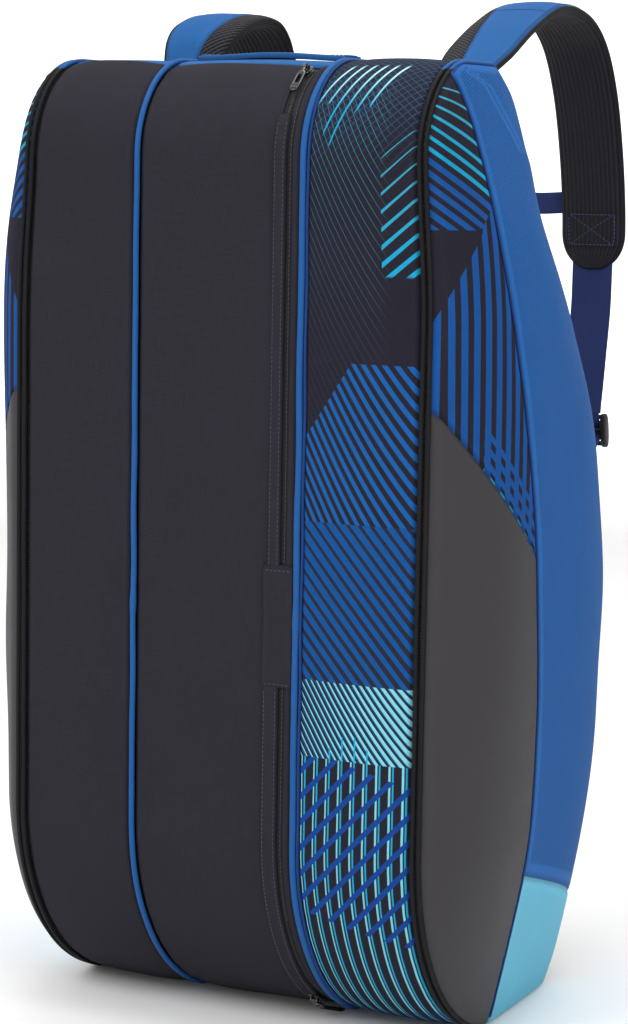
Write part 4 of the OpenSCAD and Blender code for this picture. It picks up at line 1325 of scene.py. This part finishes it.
for side, s in SIDES:
    a, b = sorted((s * SIDE_TAPE[0], s * SIDE_TAPE[1]))
    strip(f"side_zip_tape_{side}", a, b, 0.0, TOP_END, -0.0062, -0.0040, ["tape"], "bag", [f"side_zip_{side}"],
          cols=6)
    for half, letter, x in SIDE_TEETH:
        teeth(f"side_zip_teeth_{side}_{letter}", s * x, 0.002, TOP_END, -half * s, "bag", [], "zip_metal", **SIDE_COIL)
    low = BACK_PATH.at_height(0.285, False)
    strip(f"side_zip_back_{side}", a, b, low, BACK_PATH.length, -0.0062, -0.0040, ["tape"], "bag",
          [f"side_zip_{side}"], path=BACK_PATH, cols=6)
    for half, letter, x in SIDE_TEETH:
        teeth(f"side_zip_back_teeth_{side}_{letter}", s * x, low, BACK_PATH.length - 0.002, -half * s, "bag", [],
              "zip_metal", path=BACK_PATH, **SIDE_COIL)
    # fabric hinge
    hinge = np.arange(BACK_PATH.at_height(0.740, False), low, 0.004)
    x = spaced(0.1690, 0.1790, 12, crowd_share=0)
    S, X = np.meshgrid(hinge, x, indexing="ij")
    bow = 0.0016 - 0.0010 * ((X - 0.1740) / 0.005) ** 2
    outer = in_space(s * X, BACK_PATH.at(S) + BACK_PATH.out(S) * bow[..., None])
    inner = in_space(s * X, BACK_PATH.at(S) + BACK_PATH.out(S) * (bow[..., None] - 0.0012))
    own(slab(f"cover_hinge_fabric_{side}", outer, inner, np.stack([X, S, np.full(S.shape, 0.02)], -1), ["black"]),
        ("bag", f"{side}_cover", (s * 0.1722, 0, 0.5), (s * 0.1776, 0, 0.5)))
    # black binding along the back corners of the shell
    corded(f"back_cord_{side}", s * 0.1710, 0.0023, "black_piping", "bag", [f"edge_piping_{side}"],
           path=BACK_PATH, s0=0.002, s1=BACK_PATH.length - 0.003, low=0.0026, lift=0.0004, seed=19 + s)

# ---------------------------------------------------------------- handle, anchor patch, tabs


def knots_path(points):
    """A smooth line through a few points, given in millimetres as (depth, height)"""
    p = np.array(points, float) / 1000
    fine = []
    for i in range(len(p) - 1):
        p0, p1, p2, p3 = p[max(0, i - 1)], p[i], p[i + 1], p[min(len(p) - 1, i + 2)]
        for t in np.linspace(0, 1, 24, endpoint=False):
            fine.append(0.5 * (2 * p1 + (p2 - p0) * t + (2 * p0 - 5 * p1 + 4 * p2 - p3) * t * t
                               + (3 * p1 - p0 - 3 * p2 + p3) * t**3))
    return Path(fine + [p[-1]])


def handle_piece():
    """Low arch of a top handle, sewn down at both ends"""
    half = [[0, 2.6], [14, 2.4], [31, 1.5], [47, 0.6], [57, 0.3], [65, 0.3]]
    arch = knots_path([[-x, h] for x, h in half[:0:-1]] + half)
    s = spaced(0, arch.length, 70, crowd_share=0)
    w = spaced(-0.0148, 0.0148, 16, crowd_share=0.6)
    S, W = np.meshgrid(s, w, indexing="ij")
    near = 0.0148 - np.abs(W)
    end = np.minimum(S, arch.length - S)
    top = 0.0044 * (0.45 + 0.55 * rim_round(near, 0.004)) + 0.0006 * smooth(end / 0.02) * (1 - (W / 0.0148) ** 2)
    xz, out = arch.at(S), arch.out(S)
    up = xz + out * top[..., None]
    down = xz + out * 0.0003
    def place(p):
        return np.stack([p[..., 0], np.broadcast_to(-0.112 + W, S.shape), HEIGHT + 0.0008 + p[..., 1]], -1)
    own(slab("handle_fabric", place(up), place(down), np.stack([W, S, near], -1), ["blue"]), "bag", ["top_handle"])
    for k, off in enumerate((-0.0122, 0.0122)):
        line = arch.at(s) + arch.out(s) * 0.0041
        line = np.stack([line[:, 0], np.full(len(s), -0.112 + off), HEIGHT + 0.0008 + line[:, 1]], -1)
        o = arch.out(s)
        stitches(f"handle_stitch_{'ab'[k]}", line, np.stack([o[:, 0], 0 * s, o[:, 1]], -1), "thread_blue", "bag")
    for sx in (-1, 1):
        box = [(0.0500, -0.0115), (0.0630, -0.0115), (0.0630, 0.0115), (0.0500, 0.0115), (0.0500, -0.0115),
               (0.0630, 0.0115), (0.0630, -0.0115), (0.0500, 0.0115)]
        line = []
        for (x0, w0), (x1, w1) in zip(box, box[1:]):
            for t in np.linspace(0, 1, 8, endpoint=False):
                line.append((sx * (x0 + (x1 - x0) * t), -0.112 + w0 + (w1 - w0) * t, HEIGHT + 0.0058))
        stitches(f"handle_box_{'left' if sx < 0 else 'right'}", line, (0, 0, 1), "thread_blue", "bag")


handle_piece()


def patch_on_back(name, x0, x1, z0, z1, mats, nodes, thick=0.0022, cols=60, seed=4, round_edge=0.0012):
    s0, s1 = BACK_PATH.at_height(z1, False), BACK_PATH.at_height(z0, False)
    return strip(name, x0, x1, s0, s1, 0.0016, 0.0024 + thick, mats, "bag", nodes, path=BACK_PATH, cols=cols,
                 round_edge=round_edge, step=0.003, seed=seed, wave=0.0003)


patch_on_back("anchor_fabric", -0.153, 0.153, 0.699, 0.751, ["black"], ["strap_anchor_patch"])
for side, s in SIDES:
    a, b = sorted((s * 0.101, s * 0.139))
    patch_on_back(f"lower_tab_{side}", a, b, 0.150, 0.199, ["black"], ["strap_lower_tabs"], cols=16)
    mid = BACK_PATH.at_height(0.175, False)
    for k, ds in enumerate((-0.018, 0.018)):
        seam_across(f"tab_stitch_{side}_{k}", a + 0.003, b - 0.003, mid + ds, 0.0045, "thread_black", "bag",
                    path=BACK_PATH)
for k, z in enumerate((0.703, 0.747)):
    seam_across(f"anchor_stitch_{k}", -0.150, 0.150, BACK_PATH.at_height(z, False), 0.0045, "thread_black", "bag",
                path=BACK_PATH)

# ---------------------------------------------------------------- padded back


def back_cushion():
    """Padded back in air mesh: a closed pad pressed into upright and level channels"""
    s0, s1 = BACK_PATH.at_height(0.686, False), BACK_PATH.at_height(0.232, False)
    s, x = spaced(s0, s1, 200, crowd_share=0.2), spaced(-0.0855, 0.0855, 90, crowd_share=0.3)
    S, X = np.meshgrid(s, x, indexing="ij")
    near = np.minimum(np.minimum(X - x[0], x[-1] - X), np.minimum(S - s0, s1 - S))
    t = (S - s0) / (s1 - s0)
    groove = np.minimum(np.abs(X), 0.05)
    for at in (0.26, 0.5, 0.74):
        bend = at + 0.035 * np.abs(X) / 0.085
        groove = np.minimum(groove, np.abs(t - bend) * (s1 - s0))
    crown = 0.0075 * (1 - (1 - np.clip(near / 0.022, 0, 1)) ** 2.4) ** 0.5
    press = smooth(groove / 0.013) ** 0.55
    high = 0.0010 + crown * (0.30 + 0.70 * press) + 0.0004 * ripple(X, S, 0.05, 8) * smooth(near / 0.02)
    outer = in_space(X, BACK_PATH.at(S) + BACK_PATH.out(S) * (0.0022 + high)[..., None])
    inner = in_space(X, BACK_PATH.at(S) + BACK_PATH.out(S) * 0.0018)
    cloth = np.stack([X, S, np.minimum(near, groove + 0.001)], -1)
    obj = own(slab("back_cushion", outer, inner, cloth, ["mesh_diamond"]), "bag", ["back_pad"])
    edge = [(x[0], t) for t in s] + [(q, s[-1]) for q in x[1:]] + [(x[-1], t) for t in s[::-1][1:]] + [
        (q, s[0]) for q in x[::-1][1:-1]]
    ring = np.array([in_space(q, BACK_PATH.at(t) + BACK_PATH.out(t) * 0.0036) for q, t in edge])
    ring = np.vstack([ring, ring[:1]])
    own(sweep("back_cushion_binding", ring, in_space(0.0, np.array([BACK_PATH.out(t) for _, t in edge + edge[:1]])),
              circle(0.0021, 10), ["binding"], sharp=60), "bag")


back_cushion()

# ---------------------------------------------------------------- shoulder straps

Shape.pinched = False

RIGHT_PAD_LINE = knots_path([[-44, 740], [-20, 764], [12, 782], [64, 806], [124, 824], [182, 820], [226, 798],
                             [256, 758], [276, 706], [288, 650], [290, 600]])
LEFT_PAD_LINE = knots_path([[-44, 740], [-44, 766], [-28, 792], [4, 808], [42, 811], [74, 798], [100, 772],
                            [136, 748], [184, 731], [232, 716], [268, 692], [288, 650], [290, 600]])
WEB_LINE = knots_path([[290, 616], [289, 598], [287, 560], [279, 515], [270, 470]])
ADJUST_LINE = knots_path([[267, 452], [252, 400], [214, 330], [170, 250], [142, 192]])
STRAP_X, STRAP_HALF = 0.120, 0.030


def half_width(s, length):
    """Half the width of a pad: narrower where it is sewn in and rounded at its far end"""
    t = np.clip((s - (length - 0.034)) / 0.034, 0, 1)
    return (STRAP_HALF - 0.0012) * np.maximum(0.30, (1 - t**2.3) ** 0.5) * (0.62 + 0.38 * smooth((s + 0.005) / 0.085))


def pad_thick(u, s, length):
    edge = np.clip(np.abs(2 * u - 1), 0, 1)
    start = smooth(s / 0.05)
    end = smooth((length - s) / 0.02)
    return 0.0018 + (0.0040 * (1 - edge**3) ** 0.6) * (0.45 + 0.55 * start) * (0.35 + 0.65 * end)


def strap_pieces(side, sx):
    """One shoulder strap: cover, mesh, binding and stitching"""
    body = f"{side}_strap"
    PAD_LINE = RIGHT_PAD_LINE if sx > 0 else LEFT_PAD_LINE
    L = PAD_LINE.length

    def strap_half(t):
        return half_width(t, L)

    def strap_thick(q, t):
        return pad_thick(q, t, L)

    s = spaced(0.001, L - 0.0008, 150, crowd_share=0.12)
    taper = 0.46 * np.clip(1 - s / 0.185, 0, 1) ** 0.8 + 0.012
    lanes = np.array([np.r_[np.linspace(0, f, 12), np.linspace(f, 1, 26)[1:]] for f in taper])
    S = np.repeat(s[:, None], lanes.shape[1], 1)
    H = strap_thick(lanes, S)
    X = sx * (STRAP_X + (lanes - 0.5) * 2 * strap_half(S))
    near = np.minimum(lanes, 1 - lanes) * 2 * strap_half(S)
    seam = np.abs(lanes - taper[:, None]) * 2 * STRAP_HALF
    live = (taper[:, None] > 0.02)
    groove = np.where(live, 0.0007 * np.exp(-((seam / 0.0016) ** 2)), 0)
    yz, out = PAD_LINE.at(S), PAD_LINE.out(S, 0.006)
    bumps = 0.00035 * ripple(X, S, 0.06, 3) * smooth(near / 0.006)
    outer = in_space(X, yz + out * (H - groove + bumps)[..., None])
    under = in_space(X, yz + out * (H * 0.15)[..., None])
    cloth = np.stack([lanes * 0.06, S, np.where(live, np.minimum(near, seam + 0.0005), near)], -1)
    obj = slab(f"{side}_strap_outer", outer, under, cloth, ["blue", "mesh_diamond", "binding"])
    rows, cols = lanes.shape
    index = np.zeros(len(obj.data.polygons), np.int32)
    quads = (rows - 1) * (cols - 1)
    column = np.tile(np.arange(cols - 1), rows - 1)
    index[:quads] = np.where(column < 11, 1, 0)
    index[quads:] = 2
    obj.data.polygons.foreach_set("material_index", index)
    own(obj, body, [f"{side}_strap_cover"])
    # wearer's side
    u = spaced(0, 1, 34, crowd_share=0.5)
    S, U = np.meshgrid(s, u, indexing="ij")
    H = strap_thick(U, S)
    X = sx * (STRAP_X + (U - 0.5) * 2 * strap_half(S))
    near = np.minimum(U, 1 - U) * 2 * strap_half(S)
    yz, out = PAD_LINE.at(S), PAD_LINE.out(S, 0.006)
    box = np.minimum(np.abs(S - (L - 0.052)), np.abs(S - (L - 0.020)))
    press = 0.0012 * np.exp(-((box / 0.0022) ** 2)) * smooth(near / 0.004)
    fold = 0.0004 * ripple(S, X * 0.4, 0.026, 12) * smooth((S - 0.10) / 0.06) * smooth((0.36 - S) / 0.06)
    low = in_space(X, yz - out * (H * 1.05 - press + fold + 0.0004)[..., None])
    high = in_space(X, yz + out * (H * 0.10)[..., None])
    cloth = np.stack([U * 0.06, S, np.minimum(near, box + 0.0012)], -1)
    obj = own(slab(f"{side}_strap_mesh", low, high, cloth, ["mesh"]), body, [f"{side}_strap_pad"])
    # binding round the edge
    around = [(0, t) for t in s] + [(q, s[-1]) for q in np.linspace(0, 1, 14)[1:-1]] + [(1, t) for t in s[::-1]]
    line, ups = [], []
    for q, t in around:
        p, o = PAD_LINE.at(t), PAD_LINE.out(t, 0.006)
        line.append(in_space(sx * (STRAP_X + (q - 0.5) * 2 * float(strap_half(t))), p + o * 0.0002))
        ups.append(in_space(0.0, o))
    own(sweep(f"{side}_strap_binding", np.array(line), np.array(ups), circle(0.0022, 10, 0.75), ["binding"], sharp=60),
        body)
    # stitching
    def on_outer(q, t, lift=0.0001):
        p, o = PAD_LINE.at(t), PAD_LINE.out(t, 0.006)
        h = float(strap_thick(np.array(q), np.array(t)))
        return in_space(sx * (STRAP_X + (q - 0.5) * 2 * float(strap_half(t))), p + o * (h + lift)), in_space(0.0, o)
    def on_inner(q, t, lift=0.0004):
        p, o = PAD_LINE.at(t), PAD_LINE.out(t, 0.006)
        h = float(strap_thick(np.array(q), np.array(t)))
        return in_space(sx * (STRAP_X + (q - 0.5) * 2 * float(strap_half(t))), p - o * (h * 1.05 + lift)), in_space(
            0.0, -o)
    def sew(name, spots, mat, where, **more):
        pts = [where(q, t) for q, t in spots]
        stitches(name, np.array([p for p, _ in pts]), np.array([o for _, o in pts]), mat, body, **more)
    sew(f"{side}_strap_seam_top", [(q, 0.158) for q in np.linspace(0.10, 0.95, 30)], "thread_navy", on_outer)
    sew(f"{side}_strap_edge_a", [(0.945, t) for t in s[4:-6]], "thread_navy", on_outer)
    sew(f"{side}_strap_edge_b", [(0.055, t) for t in s[60:-6]], "thread_navy", on_outer)
    a, b = L - 0.050, L - 0.022
    spots = [(0.12, a), (0.88, a), (0.88, b), (0.12, b), (0.12, a)]
    line = []
    for (q0, t0), (q1, t1) in zip(spots, spots[1:]):
        line += [(q0 + (q1 - q0) * k, t0 + (t1 - t0) * k) for k in np.linspace(0, 1, 14, endpoint=False)]
    sew(f"{side}_strap_box", line, "thread_navy", on_inner, width=0.0004)
    line = []
    for (q0, t0), (q1, t1) in zip([(0.14, a), (0.14, b)], [(0.86, b), (0.86, a)]):
        line += [(q0 + (q1 - q0) * k, t0 + (t1 - t0) * k) for k in np.linspace(0, 1, 20)]
    sew(f"{side}_strap_cross", line[:20], "thread_navy", on_inner)
    sew(f"{side}_strap_cross_b", line[20:], "thread_navy", on_inner)


def band_piece(name, line, centre, half, thick, mat, body, nodes, bow=0.0, seed=1, turn=None):
    """Flat webbing along a line in the side plane, with soft edges, a slight bow and, if asked, a twist"""
    s = spaced(0, line.length, max(12, int(line.length / 0.004)), crowd_share=0)
    w = spaced(-half, half, 12, crowd_share=0.6)
    S, W = np.meshgrid(s, w, indexing="ij")
    near = half - np.abs(W)
    t = thick / 2 * (0.55 + 0.45 * rim_round(near, 0.0015))
    mid = bow * (1 - (W / half) ** 2) + 0.0004 * ripple(S, W * 0.3, 0.08, seed)
    yz, out = line.at(S), line.out(S, 0.006)
    angle = np.zeros(S.shape) if turn is None else np.interp(S / line.length, turn[0], turn[1])
    c, n = np.cos(angle), np.sin(angle)
    def place(h):
        return in_space(centre + W * c + h * n, yz + out * (h * c - W * n)[..., None])
    own(slab(name, place(mid + t), place(mid - t), np.stack([W, S, near + 0.002], -1), [mat]), body, nodes)


for side, s in SIDES:
    Shape.leaning = side == "left"
    strap_pieces(side, s)
    Shape.leaning = False
    body = f"{side}_strap"
    band_piece(f"{side}_webbing_main", WEB_LINE, s * STRAP_X, 0.019, 0.0020, "navy_web", body,
               [f"{side}_strap_webbing"], bow=0.0012)
    band_piece(f"{side}_webbing_adjuster", ADJUST_LINE, s * STRAP_X, 0.014, 0.0018, "navy_web",
               ("bag", body, (s * STRAP_X, 0.142, 0.192), (s * STRAP_X, 0.250, 0.452)),
               [f"{side}_strap_webbing"])
    # keeper loop for the chest strap
    a, b = sorted((s * 0.0940, s * 0.1060))
    loop = [(0.2919, 0.6465), (0.2998, 0.6465), (0.3000, 0.6735), (0.2919, 0.6735)]
    ring = np.array(loop)
    steps = np.linspace(0, 1, 8, endpoint=False)
    dense = np.array([ring[i] + (ring[(i + 1) % 4] - ring[i]) * t for i in range(4) for t in steps])
    for _ in range(3):
        dense = (np.roll(dense, 1, 0) + 2 * dense + np.roll(dense, -1, 0)) / 4
    closed = np.vstack([dense, dense[:1]])
    own(sweep(f"{side}_keeper", in_space((a + b) / 2, closed), (1, 0, 0),
              np.array([(-0.0055, -0.0007), (0.0055, -0.0007), (0.0058, 0), (0.0055, 0.0007), (-0.0055, 0.0007),
                        (-0.0058, 0)]), ["binding"], sharp=50), body)

# ---------------------------------------------------------------- chest strap


def chest_band(name, sx, body, node):
    x = spaced(0.0215, 0.131, 40, crowd_share=0)
    w = spaced(-0.0098, 0.0098, 10, crowd_share=0.6)
    X, W = np.meshgrid(x, w, indexing="ij")
    near = 0.0098 - np.abs(W)
    t = 0.0009 * (0.55 + 0.45 * rim_round(near, 0.0014))
    share = np.sin(math.pi * np.clip((X - 0.0215) / 0.075, 0, 1))
    y = 0.2961 + 0.0007 * share
    z = 0.660 + W - 0.0022 * share
    place = lambda h: np.stack([sx * X, y + h, z], -1)
    own(slab(name, place(t), place(-t), np.stack([W, X, near + 0.002], -1), ["navy_web"]), body, [node])


chest_band("chest_band_right", 1, "chest_clip", "chest_strap_right")
chest_band("chest_band_left", -1, "left_strap", "chest_strap_left")

# ---------------------------------------------------------------- ladder locks


def ladder_lock(side, sx):
    """Two rounded side rails and three bars; the webbing that turns over the middle one is made after it"""
    place = (Matrix.Translation((sx * STRAP_X, 0.271, 0.468)) @ Matrix.Rotation(math.radians(10), 4, "X")
             @ Matrix.Translation((0, 0.0044, -0.015)))
    parts = []
    for x in (-0.0205, 0.0205):
        rail = block(oval(0.0104, 0.0316, power=2.3), 0.0060, 0.0018, segments=4)
        parts.append((rail, Matrix.Translation((x, 0, 0)) @ Matrix.Rotation(math.pi / 2, 4, "Z")))
    for z in (-0.0125, 0.0, 0.0125):
        parts.append((rod((-0.019, 0, z), (0.019, 0, z), 0.0022), EYE))
    joined(f"{side}_lock", parts, place, "plastic", f"{side}_strap", [f"{side}_ladder_lock"])


for side, s in SIDES:
    ladder_lock(side, s)
    band_piece(f"{side}_webbing_turn", knots_path([[269, 472], [271.5, 464], [278, 459], [281, 453], [277, 447],
                                                   [269.5, 443], [265, 438]]),
               s * STRAP_X, 0.0174, 0.0018, "navy_web", f"{side}_strap", [])

# ---------------------------------------------------------------- hardware that keeps its CAD shape


def finish_cad(node_name, mat, bevel):
    """A CAD piece as it is, with a material and softened edges"""
    obj = bpy.data.objects[node_name]
    obj.data.materials.clear()
    obj.data.materials.append(M[mat])
    weld = obj.modifiers.new("weld", "WELD")
    weld.merge_threshold = 1e-6
    round_off = obj.modifiers.new("bevel", "BEVEL")
    round_off.width, round_off.segments, round_off.limit_method = bevel, 3, "ANGLE"
    round_off.angle_limit = math.radians(35)
    round_off.harden_normals = False


for node_name, mat, bevel in (
        ("lower_zip_slider", "gloss", 0.0004), ("lower_zip_puller", "gloss", 0.0005),
        ("right_zip_slider", "gloss", 0.0004), ("right_zip_puller", "gloss", 0.0005),
        ("left_zip_slider", "gloss", 0.0004), ("left_zip_puller", "gloss", 0.0005),
        ("chest_buckle_socket", "plastic", 0.0009), ("chest_buckle_plug", "plastic", 0.0008),
        ("base_board", "board", 0.0006), ("zip_end_tab", "binding", 0.0007)):
    finish_cad(node_name, mat, bevel)

# ---------------------------------------------------------------- light and floor


def plain(name, colour):
    m, surface = start_material(name)
    finish_material(surface, shade(colour, 0.985 + object_texture("TexNoise", 3.0) * 0.03), 0.9, specular=0.1)
    return m


M["paper"] = plain("studio_paper", (0.94, 0.94, 0.94, 1))


def studio():
    """Paper, lamps and a white world"""
    # the paper runs under the bag and curves up behind it
    line = [(-12.0, 0.0), (9.0, 0.0)]
    for a in np.linspace(0, math.pi / 2, 14)[1:]:
        line.append((9.0 + 3.0 * math.sin(a), 3.0 * (1 - math.cos(a))))
    line.append((12.0, 12.0))
    turn = Matrix.Rotation(AZIMUTH, 3, "Z")
    verts, faces = [], []
    for d, h in line:
        for side in (-14.0, 14.0):
            verts.append(tuple(turn @ Vector((side, d, h))))
    for i in range(len(line) - 1):
        faces.append((2 * i, 2 * i + 1, 2 * i + 3, 2 * i + 2))
    paper = new_object("studio_paper", verts, faces, ["paper"], sharp=None, recalc=False)
    paper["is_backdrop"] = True

    def lamp(name, place, look, size, power, size_y):
        data = bpy.data.lights.new(name, "AREA")
        data.shape, data.size, data.size_y = "RECTANGLE", size, size_y
        data.energy = power
        obj = bpy.data.objects.new(name, data)
        obj.location = place
        obj.rotation_mode = "QUATERNION"
        obj.rotation_quaternion = (Vector(look) - Vector(place)).to_track_quat("-Z", "Y")
        scene.collection.objects.link(obj)

    lamp("key", (-1.2, -2.6, 2.7), (0, -0.05, 0.46), 1.8, 54, 1.8)
    lamp("fill", (2.6, -1.8, 2.1), (0, 0, 0.44), 2.0, 30, 2.0)
    lamp("top", (0.2, 0.1, 3.0), (0, 0, 0.4), 2.0, 44, 2.0)
    lamp("backdrop", turn @ Vector((0, 4.5, 4.2)), turn @ Vector((0, 10.5, 1.6)), 9.0, 640, 2.0)
    world = bpy.data.worlds.new("studio")
    world.use_nodes = True
    world.node_tree.nodes["Background"].inputs[0].default_value = (1.0, 1.0, 1.0, 1)
    world.node_tree.nodes["Background"].inputs[1].default_value = 0.66
    scene.world = world
    scene.view_settings.view_transform = "Standard"
    scene.view_settings.look = "None"


studio()

low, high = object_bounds()
